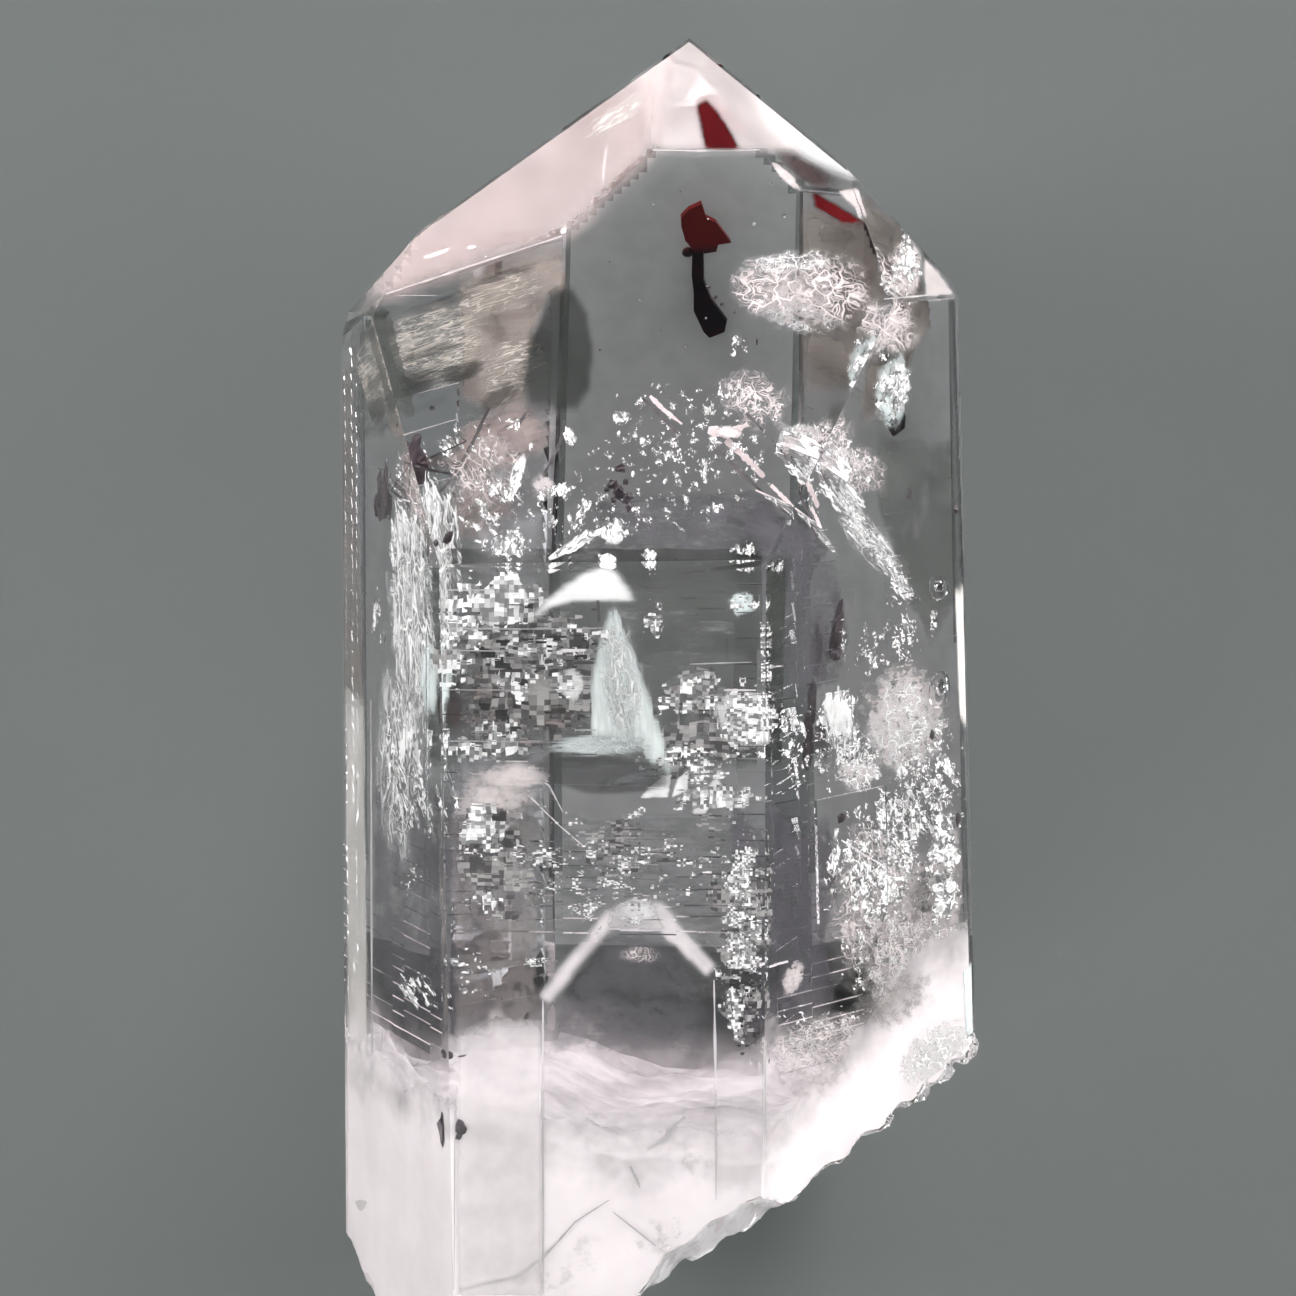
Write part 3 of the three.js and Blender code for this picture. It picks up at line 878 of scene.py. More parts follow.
# painted shade, these four: dark tones where clear quartz shows only shade behind it
SHADE_LILAC_GREY = (0.1, 0.095, 0.107)
SHADE_LAVENDER = (0.09, 0.081, 0.097)
SHADE_GREEN_GREY = (0.07, 0.075, 0.068)
SHADE_MOSS_GREY = (0.02, 0.022, 0.02)
TREE_WHITE = (0.84, 0.9, 0.88)
DARK = (0.022, 0.022, 0.021)
# painted reflection: the hematite plate, seen in the point's faces from inside
HEMATITE_REFLECTION_RED = (0.05, 0.003, 0.004)
# painted shade: a dark tone where clear quartz shows only shade behind it
SHADE_SMOKE = (0.26, 0.215, 0.19)

# Each is a thin sheet behind a face. A spot is an ellipse: its middle and half sizes in pixels of the
# photograph. A zone is an outline in those pixels. Both go on with the tilt in degrees, the depth in mm,
# how much it covers, the size of its grain in mm and, where it isn't 1, the grain's length to width.
CLOUD_SPOTS = [
    (WHITE, [
        (511, 599, 22, 19, 0, 0.9, 1, 0.6), (745, 716, 32, 24, 0, 0.9, 0.85, 0.7),
        (840, 462, 34, 18, 12, 6, 0.55, 0.5, 1.4), (636, 912, 25, 14, 0, 4.4, 0.8, 0.6),
        (612, 535, 14, 12, 0, 3, 0.7, 0.4), (572, 684, 14, 20, 0, 0.9, 0.9, 0.6, 0.6),
        (518, 470, 7, 20, 24, 5, 0.9, 0.5, 2), (930, 1058, 50, 20, -36, 0.6, 0.8, 0.4),
    ]),
    (BLUE_WHITE, [
        (893, 390, 20, 44, 8, 3.6, 0.8, 0.5, 1.6), (742, 604, 16, 15, 0, 1.6, 0.8, 0.4),
        (600, 744, 60, 14, -2, 1.4, 0.8, 2, 0.1), (640, 776, 44, 6, -14, 0.8, 0.7, 1.2, 0.15),
        (412, 600, 16, 60, -6, 3.6, 0.35, 0.3, 7), (430, 680, 11, 46, 0, 1.6, 0.75, 0.3, 6),
    ]),
    (PALE_PINK, [
        (516, 776, 40, 16, 0, 1.2, 0.95, 0.8, 0.5), (500, 796, 40, 18, 0, 1.2, 0.8, 0.6, 0.7),
        (905, 722, 52, 72, 0, 3.2, 0.65, 0.5), (915, 985, 52, 52, -20, 2.4, 0.8, 0.9),
        (488, 806, 40, 46, 0, 1.8, 0.75, 0.9, 0.8), (858, 775, 26, 20, 0, 2.6, 0.5, 0.3),
        (906, 270, 18, 30, 0, 1.8, 0.8, 0.5), (798, 294, 62, 42, 6, 7.2, 0.6, 0.5, 0.7),
        (786, 176, 26, 6, 42, 0.5, 0.8, 0.6, 0.6), (729, 432, 17, 8, 8, 7.2, 0.8, 0.5),
        (944, 880, 22, 90, 0, 2, 0.6, 0.6), (543, 486, 14, 16, 0, 5.2, 0.6, 0.4),
        (793, 978, 12, 22, 24, 2.2, 0.75, 0.2, 1.6), (904, 930, 76, 110, 0, 3, 0.6, 0.5),
    ]),
    (ROSE_BROWN, [
        (500, 440, 74, 40, -24, 7.2, 0.75, 1.2, 0.35), (480, 506, 50, 40, -40, 6.4, 0.6, 0.8, 0.4),
        (505, 700, 50, 40, 0, 2.6, 0.6, 0.7, 0.5),
    ]),
    (BROWN, [
        (454, 712, 12, 26, 0, 1.4, 0.95, 0.6, 0.8), (521, 694, 13, 26, 0, 1.6, 0.8, 0.5, 0.8),
        (818, 650, 16, 46, 0, 4.6, 0.6, 0.5, 1.6), (805, 170, 40, 13, 38, 0.3, 0.95, 0.5, 0.6),
        (820, 738, 12, 40, 0, 4.4, 0.6, 0.5, 1.6), (812, 168, 36, 12, 34, 1.2, 0.7, 0.8, 0.5),
        (440, 462, 34, 8, 6, 6.2, 0.7, 1.2, 0.2),
    ]),
    (DARK, [
        (430, 350, 44, 11, -17, 6.8, 0.6, 1.4, 0.14), (414, 384, 30, 18, -16, 6.8, 0.65, 1.2, 0.16),
        (436, 304, 56, 9, -17, 6.8, 0.5, 1.4, 0.12), (500, 276, 56, 6, -17, 6.8, 0.6, 2, 0.1),
        (500, 396, 30, 14, -40, 6.4, 0.55, 1.2, 0.2), (462, 372, 30, 12, -17, 6.6, 0.8, 1.6, 0.2),
        (850, 300, 12, 50, 6, 6, 0.3, 0.8, 3),
    ]),
    (CREAM, [
        (616, 116, 46, 13, -33, 0.2, 0.45, 1.2, 0.16),
    ]),
]

CLOUD_AND_SHADE_ZONES = [
    (TREE_WHITE, [
        ([(613, 604), (622, 622), (632, 650), (646, 690), (662, 735), (674, 778), (652, 768), (636, 742),
          (592, 738), (590, 700), (598, 650), (606, 625)], -4, 1.1, 1, 0.35, 7),
    ]),
    (WHITE, [
        ([(822, 702), (828, 690), (832, 700), (838, 684), (846, 700), (852, 716), (856, 730), (846, 742),
          (834, 736), (828, 722)], 0, 2.2, 0.62, 0.25, 4),
        ([(714, 706), (722, 700), (728, 690), (734, 700), (744, 696), (754, 716), (774, 742), (744, 748),
          (722, 732)], 0, 0.8, 0.68, 0.25, 2.5),
        ([(671, 798), (678, 778), (690, 768), (688, 790)], 0, 0.9, 1, 2),
        ([(692, 814), (700, 792), (716, 778), (722, 784), (706, 813)], 0, 0.9, 1, 2),
        ([(728, 808), (738, 792), (752, 786), (744, 808)], 0, 0.9, 1, 2),
        ([(640, 798), (650, 786), (662, 776), (672, 774), (668, 797)], 0, 0.9, 1, 2, 0.4),
    ]),
    # painted shade: dark greys where clear quartz shows only shade behind it
    (SHADE_GREEN_GREY, [
        ([(442, 567), (770, 567), (771, 762), (442, 762)], 0, 4.4, 0.6, 2.5, 0.3),
        ([(626, 568), (770, 568), (770, 655), (640, 655)], 0, 3.2, 0.55, 3, 0.4),
        ([(878, 440), (953, 436), (956, 600), (930, 640), (905, 590), (880, 520)], 0, 6, 0.7, 3, 2),
        ([(350, 330), (384, 304), (396, 372), (400, 430), (352, 440)], 0, 2, 0.5, 1.5),
        ([(458, 815), (768, 812), (766, 1000), (545, 1000), (540, 880), (458, 850)], 0, 6.2, 0.3, 2, 0.3),
    ]),
    # painted shade: dark lilac greys where clear quartz shows only shade behind it
    (SHADE_LILAC_GREY, [
        ([(596, 500), (760, 490), (792, 520), (770, 564), (596, 564)], 0, 7.8, 0.5, 2, 0.3),
        ([(775, 524), (800, 515), (835, 556), (850, 640), (836, 690), (792, 690), (774, 640)], 0, 4.6,
          0.6, 2),
        ([(552, 1020), (600, 935), (664, 935), (706, 1000), (706, 1050), (552, 1050)], 0, 5, 0.5, 2, 0.6),
    ]),
    # painted shade: dark lavender where the side faces show only shade through clear quartz
    (SHADE_LAVENDER, [
        ([(374, 780), (445, 790), (447, 1030), (400, 1030), (374, 960)], 0, 5.6, 0.55, 1.2, 2),
        ([(768, 800), (800, 830), (826, 812), (838, 880), (824, 940), (838, 1000), (790, 1030),
          (768, 1012)], 0, 4.6, 0.65, 0.7),
    ]),
    (PINK_GREY, [
        ([(450, 805), (535, 800), (538, 1020), (456, 1028)], 0, 2.4, 0.5, 0.8),
    ]),
]

FILMS_AND_PAINTED_LIGHT = [
    # the point's faces
    # painted reflection of the milky base in the point's front left face
    (FACET_REFLECTION_PINK, [
        ([(380, 210), (640, 40), (668, 60), (652, 150), (567, 236), (372, 300)], 0, 0.25, 0.37, 3),
    ]),
    # painted reflection of the milky base in the faces at the apex
    (APEX_REFLECTION_PINK, [
        ([(694, 6), (636, 50), (652, 150), (765, 151), (806, 150), (800, 80)], 0, 0.3, 0.42, 2),
    ]),
    (WHITE, [
        # the first zone is a painted reflection of the milky base in a face of the point
        ([(742, 60), (820, 100), (880, 160), (852, 178), (806, 158), (768, 132)], 0, 0.3, 0.6, 1),
        ([(532, 619), (545, 602), (566, 586), (584, 574), (602, 569), (616, 573), (626, 586), (633, 600),
          (572, 601), (552, 606)], 0, 0.6, 1, 3),
    ]),
    # painted reflections of the hematite plate in the point's faces
    (HEMATITE_REFLECTION_RED, [
        ([(697, 106), (706, 100), (716, 110), (728, 127), (739, 148), (706, 149), (701, 124)], 0, 0.15,
          1.15, 2),
        ([(812, 190), (864, 222), (842, 223), (815, 207)], 0, 0.5, 1.15, 2),
    ]),
    (MILK_PINK, [
        ([(539, 996), (549, 1002), (610, 930), (617, 909), (607, 911)], 0, 4.5, 0.95, 1),
        ([(606, 928), (617, 905), (632, 897), (648, 898), (664, 928)], 0, 4.6, 0.6, 0.4),
        ([(650, 902), (662, 902), (715, 966), (706, 975), (658, 928)], 0, 4.5, 0.95, 1),
    ]),
    (PALE_PINK, [
        # the first zone is a painted pink reflection of the milky base in the point's faces
        ([(838, 191), (858, 189), (867, 219)], 0, 0.9, 0.8, 2),
        ([(924, 258), (938, 272), (953, 294), (926, 297)], 0, 0.8, 0.6, 1),
    ]),
    # windows under the point's left and right faces: painted shade, dark tones where clear quartz shows
    # only shade behind it
    (SHADE_BROWN_GREY, [
        ([(803, 208), (866, 225), (890, 285), (876, 312), (864, 360), (850, 392), (806, 392),
          (802, 300)], 0, 7.6, 0.8, 2),
    ]),
    (SHADE_SMOKE, [
        ([(462, 282), (563, 248), (563, 290), (548, 296), (530, 340), (526, 400), (500, 412),
          (462, 396)], 0, 8.8, 0.75, 3, 0.1),
    ]),
    (SHADE_MOSS_GREY, [
        ([(552, 292), (572, 290), (586, 312), (592, 345), (590, 385), (578, 408), (530, 405), (524, 380),
          (530, 342)], 0, 6.6, 0.9, 3),
    ]),
    (DARK, [
        ([(532, 760), (560, 756), (610, 757), (664, 764), (668, 786), (640, 792), (590, 794),
          (550, 782)], 0, 0.7, 0.7, 2, 0.3),
    ]),
    # milky quartz beside the phantom, where it starts at a line
    (MILK_PINK, [
        ([(456, 1030), (543, 1026), (543, 1296), (456, 1296)], 0, 0.3, 0.45, 1),
        ([(716, 1060), (766, 1054), (766, 1170), (716, 1195)], 0, 0.3, 0.2, 1),
    ]),
    # strips down the sides: the pale ones are painted reflections along the edge faces, the dark one on the
    # left is painted shade
    (CREAM, [
        ([(955, 592), (967, 586), (969, 727), (960, 716)], 0, 0.4, 0.95, 0.8, 3),
        ([(346, 690), (364, 690), (370, 1285), (350, 1240)], 0, 0.5, 0.4, 1, 4),
    ]),
    (BLUE_WHITE, [
        ([(963, 966), (975, 962), (977, 1036), (966, 1034)], 0, 0.4, 0.9, 0.6),
    ]),
    (SHADE_BROWN_GREY, [
        ([(341, 372), (353, 372), (364, 700), (342, 700)], 0, 0.6, 0.7, 0.6, 8),
    ]),
]

THREAD_SPOTS = [
    (STREAK_BEIGE, [
        (436, 346, 66, 48, -17, 7.8, 1, 1.3, 0.13), (510, 366, 52, 36, -17, 7.6, 0.8, 1.3, 0.14),
        (500, 292, 66, 26, -17, 7.8, 0.8, 1.3, 0.12),
    ]),
    (PINK_GREY, [
        (560, 1270, 60, 30, -30, 0.25, 0.22, 0.6), (600, 1130, 40, 34, 0, 0.25, 0.25, 0.5),
        (690, 1150, 40, 40, 0, 0.25, 0.22, 0.5), (820, 1070, 50, 34, -30, 0.25, 0.4, 0.4),
        (660, 1240, 40, 26, -20, 0.25, 0.25, 0.5), (900, 1000, 50, 30, -36, 0.25, 0.5, 0.35),
    ]),
    (TREE_WHITE, [
        (622, 690, 22, 70, -5, 0.9, 0.9, 0.4, 3), (610, 745, 50, 12, 0, 0.9, 0.8, 0.6, 0.4),
    ]),
    (PALE_PINK, [
        (770, 286, 48, 34, -12, 6.6, 1, 0.7, 0.8), (832, 290, 46, 42, 20, 6.4, 1, 0.7, 0.8),
        (906, 268, 18, 34, 0, 1.6, 1, 0.5), (895, 332, 26, 26, -30, 3, 0.8, 0.7),
        (870, 905, 50, 100, 0, 3, 0.85, 0.6), (915, 960, 66, 70, -20, 1.8, 0.9, 0.4),
        (850, 470, 46, 30, 12, 5, 0.8, 0.4), (640, 955, 24, 10, 0, 4, 0.85, 0.4),
        (822, 1046, 66, 38, -10, 2, 0.9, 0.5, 0.6), (756, 400, 48, 34, 24, 8.4, 0.7, 0.5),
        (484, 470, 50, 46, -40, 6, 0.6, 0.5, 1.8),
    ]),
    (WHITE, [
        (792, 262, 60, 14, -4, 6.2, 0.7, 0.5, 0.6), (800, 316, 50, 20, 8, 6.8, 0.5, 0.5, 0.8),
        (622, 680, 26, 80, -5, 0.8, 0.7, 0.35, 3), (905, 722, 44, 62, 0, 2, 0.6, 0.5),
        (860, 775, 26, 20, 0, 2.2, 0.7, 0.4), (846, 500, 12, 30, -34, 4.6, 0.8, 0.35, 3),
        (870, 540, 20, 50, -38, 4.2, 0.75, 0.3, 3), (900, 580, 7, 26, -34, 3.8, 0.7, 0.3, 3),
        (816, 530, 5, 32, -44, 4.4, 0.4, 0.3, 4), (400, 760, 30, 120, 0, 3, 0.85, 0.3, 6),
        (412, 610, 26, 120, -4, 2.6, 0.95, 0.28, 6), (936, 1052, 50, 26, -36, 0.2, 1, 0.3),
    ]),
]

# Sparkling patches: white facets with painted glints
SPARKLE_SPOTS = [
    (WHITE, [
        # upper right, under the lacy veil
        (735, 392, 26, 12, 20, 9, 0.5, 0.22, 1.5), (762, 400, 24, 12, 20, 9, 0.5, 0.25, 1.6),
        (708, 408, 14, 9, 0, 9, 0.5, 0.22, 1.4), (623, 417, 10, 8, 0, 7, 0.8, 0.3, 1.4),
        (655, 385, 8, 5, 10, 8, 0.5, 0.2, 1.3), (570, 433, 8, 12, -30, 6, 0.6, 0.3, 1.6),
        (662, 455, 12, 9, 20, 7, 0.6, 0.24, 1.4), (682, 462, 9, 7, 0, 7, 0.6, 0.22, 1.3),
        (706, 467, 8, 12, 10, 7, 0.6, 0.24, 1.5), (740, 497, 8, 7, 60, 6, 0.5, 0.22, 1.4),
        (718, 508, 9, 6, 0, 6, 0.5, 0.2, 1.3), (745, 549, 17, 12, 10, 4, 0.55, 0.22, 1.4),
        (650, 556, 9, 8, 0, 3, 0.7, 0.26, 1.4), (700, 440, 90, 50, 10, 7.6, 0.2, 0.16, 1.3),
        (640, 490, 70, 50, 0, 6.4, 0.12, 0.16, 1.2), (738, 345, 16, 14, 20, 9, 0.4, 0.2, 1.5),
        # middle, left of the dark cluster
        (511, 425, 10, 9, 0, 6, 0.8, 0.26, 1.3), (516, 480, 8, 22, 24, 5, 0.9, 0.34, 1.8),
        (494, 489, 9, 12, 15, 5, 0.6, 0.28, 1.6), (535, 447, 9, 6, 20, 6, 0.55, 0.22, 1.5),
        (562, 490, 18, 12, 0, 4.6, 0.5, 0.24, 1.4), (583, 510, 5, 16, 38, 4, 0.7, 0.2, 2.6),
        (580, 541, 7, 38, 61, 3, 0.95, 0.28, 2.2), (614, 530, 16, 14, 0, 3, 0.85, 0.3, 1.3),
        (609, 559, 12, 7, 0, 2, 0.7, 0.26, 1.4), (506, 545, 34, 16, 0, 3, 0.5, 0.26, 1.7),
        (488, 508, 44, 30, -30, 5, 0.35, 0.22, 1.6), (560, 520, 60, 34, 0, 4, 0.22, 0.18, 1.4),
        (470, 460, 50, 40, -30, 7, 0.25, 0.24, 2),
        # right flank
        (843, 464, 38, 20, 12, 5.6, 0.75, 0.26, 1.5), (846, 500, 16, 34, -34, 4.6, 0.75, 0.22, 3),
        (870, 540, 13, 48, -38, 4.2, 0.7, 0.2, 3.4), (900, 584, 10, 28, -34, 3.8, 0.7, 0.2, 2.4),
        (818, 532, 5, 36, -44, 4.4, 0.4, 0.2, 3), (892, 390, 22, 42, 10, 3.4, 0.55, 0.24, 1.6),
        (905, 620, 14, 34, -15, 3, 0.35, 0.18, 2), (934, 620, 4, 18, 0, 2, 0.5, 0.18, 1.3),
        (840, 720, 26, 38, 5, 2.6, 0.8, 0.26, 3), (850, 756, 36, 36, 0, 3, 0.7, 0.22, 1.5),
        (796, 740, 22, 44, 0, 3, 0.4, 0.22, 1.6), (905, 815, 56, 46, -20, 3, 0.6, 0.22, 1.6),
        (833, 852, 7, 28, 12, 3, 0.6, 0.22, 2.4), (876, 870, 54, 60, 0, 3, 0.65, 0.22, 1.4),
        (944, 870, 22, 90, 0, 1.6, 0.75, 0.3, 1.2), (905, 960, 64, 56, 0, 2.4, 0.7, 0.24, 1.4),
        (926, 770, 40, 60, 0, 2.4, 0.5, 0.22, 1.4), (940, 1050, 44, 24, -36, 0.7, 0.7, 0.3, 1.1),
        (820, 1036, 56, 28, -10, 2.6, 0.45, 0.24, 1.2), (880, 650, 40, 34, 0, 4, 0.25, 0.18, 1.6),
        (906, 268, 18, 34, 0, 1.4, 0.5, 0.26, 1.2),
        # left flank
        (412, 560, 22, 70, -10, 3.6, 0.95, 0.2, 6), (412, 640, 24, 80, -4, 3, 0.85, 0.2, 6),
        (404, 740, 26, 70, 0, 3, 0.7, 0.2, 5), (414, 790, 24, 50, -14, 2, 0.6, 0.2, 3.4),
        (430, 750, 5, 36, 5, 2, 0.6, 0.18, 3.4), (380, 620, 8, 80, 0, 3, 0.25, 0.16, 5),
        (424, 990, 20, 36, -30, 2, 0.35, 0.16, 3.4), (412, 880, 12, 16, 0, 2, 0.35, 0.2, 1.4),
    ]),
]

# Growth layers just under the front prism face, seen as small blocks
GROWTH_SPOTS = [
    (WHITE, [
        (505, 604, 46, 32, 0, 0.8, 0.75, 0.9, 1.4), (462, 606, 24, 36, 0, 0.9, 0.65, 0.8, 1.4),
        (545, 640, 90, 28, 0, 0.9, 0.5, 0.9, 1.2), (568, 672, 24, 26, 0, 0.8, 0.7, 0.9),
        (490, 670, 56, 44, 0, 1, 0.5, 0.9, 1.4), (655, 620, 12, 22, 0, 0.8, 0.5, 0.5),
        (742, 605, 18, 14, 0, 1.4, 0.75, 0.5), (768, 655, 8, 34, 0, 0.8, 0.6, 0.5),
        (690, 690, 56, 26, 0, 1, 0.5, 0.8, 1.2), (742, 718, 40, 34, 0, 0.7, 0.8, 0.7),
        (700, 762, 66, 22, 0, 0.8, 0.5, 0.6), (490, 742, 54, 28, 0, 1, 0.5, 0.8, 1.4),
        (720, 798, 52, 14, 0, 0.8, 0.65, 0.6, 1.6), (495, 820, 36, 44, 0, 1, 0.6, 0.9, 1.2),
        (600, 840, 140, 34, 0, 1.2, 0.25, 0.6, 0.8), (740, 925, 26, 100, 0, 1, 0.6, 0.4, 1.4),
        (640, 880, 120, 36, 0, 1.4, 0.25, 0.6, 0.8), (736, 1010, 24, 36, 0, 0.9, 0.45, 0.6, 1.4),
        (590, 890, 60, 40, 0, 1.6, 0.2, 0.4, 0.8), (540, 962, 24, 6, 0, 1, 0.7, 0.4, 0.6),
        (486, 890, 34, 50, 0, 1.2, 0.25, 0.7, 1.2), (480, 980, 30, 34, 0, 1.2, 0.2, 0.5),
    ]),
    (MID_GREY, [
        (520, 660, 90, 90, 0, 1.4, 0.7, 1.4), (700, 720, 76, 60, 0, 1.4, 0.65, 1.2, 0.9),
        (500, 870, 50, 80, 0, 1.6, 0.5, 1.3, 0.9), (738, 930, 32, 120, 0, 1.4, 0.6, 0.8, 1.2),
        (640, 840, 130, 40, 0, 1.8, 0.35, 1.2, 0.5),
    ]),
    (PINK_GREY, [
        (540, 700, 90, 60, 0, 1.7, 0.6, 1.2, 0.6),
    ]),
    # dark cells among the blocks: painted shade
    (DARK, [
        (500, 690, 56, 50, 0, 0.7, 0.3, 1, 0.8), (560, 640, 80, 40, 0, 0.7, 0.22, 0.9, 0.7),
        (745, 1000, 20, 60, 0, 0.6, 0.3, 0.7),
    ]),
]

VEILS = [
    ("films_and_painted_light", FILMS_AND_PAINTED_LIGHT, films, 0.5),
    ("veil_clouds_and_shade", CLOUD_SPOTS + CLOUD_AND_SHADE_ZONES, clouds, 0.6),
    ("lacy_veils", THREAD_SPOTS, threads, 0.4),
    ("white_sparkles", SPARKLE_SPOTS, facets, 0.3),
    ("growth_patches", GROWTH_SPOTS, squares, 0.3),
]

SPOT_CELLS = 12
SPOT_FULLNESS = 1.25
ZONE_CELLS = 34
ZONE_BORDER_PX = 6
ZONE_BLUR = 2
LEAN = 0.1
SWELL = 0.05
SWELL_PITCH_PX = (11, 13)
ROOM = 0.06
DRAWN_STEPS = 24
DRAWN_ROOM = 0.12
# Moves each sheet to a part of the pattern of its own
GRAIN_STEPS = (31.7, 17.3)


def spot_places(px, py, half_width, half_height):
    """A grid over an ellipse: places about its middle, and how much it covers at each."""
    steps = np.linspace(-1, 1, SPOT_CELLS + 1)
    u, v = np.meshgrid(steps, steps, indexing="ij")
    covered = np.clip(SPOT_FULLNESS * (1 - u ** 2 - v ** 2), 0, 1)
    return (px, py), u * half_width, v * half_height, covered


def inside_outline(x, y, outline):
    """Which points lie inside an outline."""
    inside = np.zeros(len(x), bool)
    for (ax, ay), (bx, by) in zip(outline, outline[1:] + outline[:1]):
        crosses = (ay > y) != (by > y)
        inside ^= crosses & (x < (bx - ax) * (y - ay) / ((by - ay) or 1e-9) + ax)
    return inside


def zone_places(outline):
    """A grid over an outline: the same, with sides that fade over a cell or two."""
    low = np.min(outline, axis=0) - ZONE_BORDER_PX
    high = np.max(outline, axis=0) + ZONE_BORDER_PX
    middle = (low + high) / 2
    x, y = np.meshgrid(*np.linspace(low, high, ZONE_CELLS + 1).T, indexing="ij")
    shares = inside_outline(x.ravel(), y.ravel(), outline).reshape(x.shape).astype(float)
    for _pass in range(ZONE_BLUR):
        wide = np.pad(shares, 1, mode="edge")
        shares = (wide[:-2, 1:-1] + wide[2:, 1:-1] + wide[1:-1, :-2] + wide[1:-1, 2:] + 2 * shares) / 6
    return middle, x - middle[0], y - middle[1], shares


def drawn_in(x, y, depth):
    """Draws places beside the crystal in towards the nearest ones in it, as far as its outline."""
    places = np.stack([x.ravel(), y.ravel()], axis=1)
    beside = ~is_inside(at_depth(*places.T, depth), DRAWN_ROOM)
    outer, inner = places[beside], places[~beside]
    if len(outer) and len(inner):
        nearest = inner[((outer[:, None] - inner[None]) ** 2).sum(axis=2).argmin(axis=1)]
        share = np.zeros((len(outer), 1))
        for _step in range(DRAWN_STEPS):
            spot = outer + share * (nearest - outer)
            found = is_inside(at_depth(*spot.T, depth), DRAWN_ROOM)[:, None]
            share = np.where(found, share, np.minimum(share + 1 / DRAWN_STEPS, 1))
        places[beside] = outer + share * (nearest - outer)
    return places[:, 0].reshape(x.shape), places[:, 1].reshape(x.shape), beside.ravel()


def sheet_places(shape, tilt, depth):
    """A sheet's grid in pixels: where it is, how far above its middle, and where it lies in the grain."""
    cos, sin = math.cos(math.radians(tilt)), math.sin(math.radians(tilt))
    if isinstance(shape, list):
        middle, across, down, covered = zone_places(shape)
        x, y = middle[0] + across, middle[1] + down
        half_height = np.abs(y - middle[1]).max()
        across, down = across * cos + down * sin, down * cos - across * sin
        x, y, beside = drawn_in(x, y, depth)
    else:
        middle, across, down, covered = spot_places(*shape)
        x, y = middle[0] + across * cos - down * sin, middle[1] + across * sin + down * cos
        half_height = np.abs(y - middle[1]).max()
        beside = np.zeros(x.size, bool)
    return x, y, middle[1] - y, half_height, across.ravel(), down.ravel(), covered.ravel(), beside


def veil_sheet(seed, shape, tilt, depth, cover, size, stretch=1):
    """One sheet: its points, quads, covers and grain. It leans towards the light at the point."""
    x, y, above, half_height, across, down, covered, beside = sheet_places(shape, tilt, depth)
    lean = min(LEAN, LEAN * depth / (half_height * PIXEL_MM)) * above * PIXEL_MM
    swell = SWELL * depth * np.sin(x / SWELL_PITCH_PX[0] + seed) * np.sin(y / SWELL_PITCH_PX[1] - seed)
    points = at_depth(x.ravel(), y.ravel(), (depth + lean + swell).ravel())
    safe = is_inside(points, ROOM)
    covers = np.where(safe, cover * covered, 0)
    grain = np.stack([
        across * PIXEL_MM / size + GRAIN_STEPS[0] * seed,
        down * PIXEL_MM / (size * stretch) + GRAIN_STEPS[1] * seed,
        np.zeros(across.size),
    ], axis=1)
    quads = grid_corners(len(x))
    whole = safe[quads].all(axis=1) & ~beside[quads].all(axis=1)
    return points, quads[whole & (covers[quads].max(axis=1) > 0)], covers, grain


def veil_mesh(name, listed, material):
    """All sheets of one kind in one mesh."""
    points, quads, covers, grains, tints = [], [], [], [], []
    count = 0
    for tint, rows in listed:
        for row in rows:
            shape, rest = (row[0], row[1:]) if isinstance(row[0], list) else (row[:4], row[4:])
            sheet, used, cover, grain = veil_sheet(len(points) + 1, shape, *rest)
            kept, renumbered = np.unique(used, return_inverse=True)
            quads.append(renumbered.reshape(-1, 4) + count)
            points.append(sheet[kept])
            covers.append(cover[kept])
            grains.append(grain[kept])
            tints.append(np.broadcast_to(tint, (len(kept), 3)))
            count += len(kept)
    mesh = bpy.data.meshes.new(name)
    mesh.from_pydata(np.vstack(points).tolist(), [], np.vstack(quads).tolist())
    shares = np.concatenate(covers).astype(np.float32)
    mesh.attributes.new("cover", "FLOAT", "POINT").data.foreach_set("value", shares)
    for key, values in (("grain", grains), ("tint", tints)):
        flat = np.vstack(values).astype(np.float32).ravel()
        mesh.attributes.new(key, "FLOAT_VECTOR", "POINT").data.foreach_set("vector", flat)
    mesh.materials.append(material)
    return new_object(name, mesh)


# Single marks in the quartz

# Ribbons: places along the middle in pixels, width in pixels at both ends, depth in mm
PALE_RIBBONS = [
    ([(608, 929), (664, 929)], 2.5, 2.5, 4.5),
    ([(769, 967), (788, 961)], 3, 3, 2.5),
    ([(543, 1000), (543, 1120)], 2, 2, 4.6),
    ([(714, 980), (716, 1100)], 2, 2, 4.6),
    ([(497, 769), (534, 800), (560, 826), (596, 856)], 1.4, 1, 1.5),
    ([(534, 776), (549, 785), (563, 812)], 2, 1.2, 1.5),
    ([(840, 840), (865, 856), (892, 871)], 1.8, 1.2, 2),
    ([(549, 559), (575, 544), (606, 528)], 6, 8, 3.2),
    ([(560, 651), (586, 650)], 3, 2.4, 0.4),
    ([(724, 690), (756, 690)], 2.2, 1.8, 0.4),
    ([(607, 146), (604, 164), (603, 184)], 3, 2, 0.3),
]

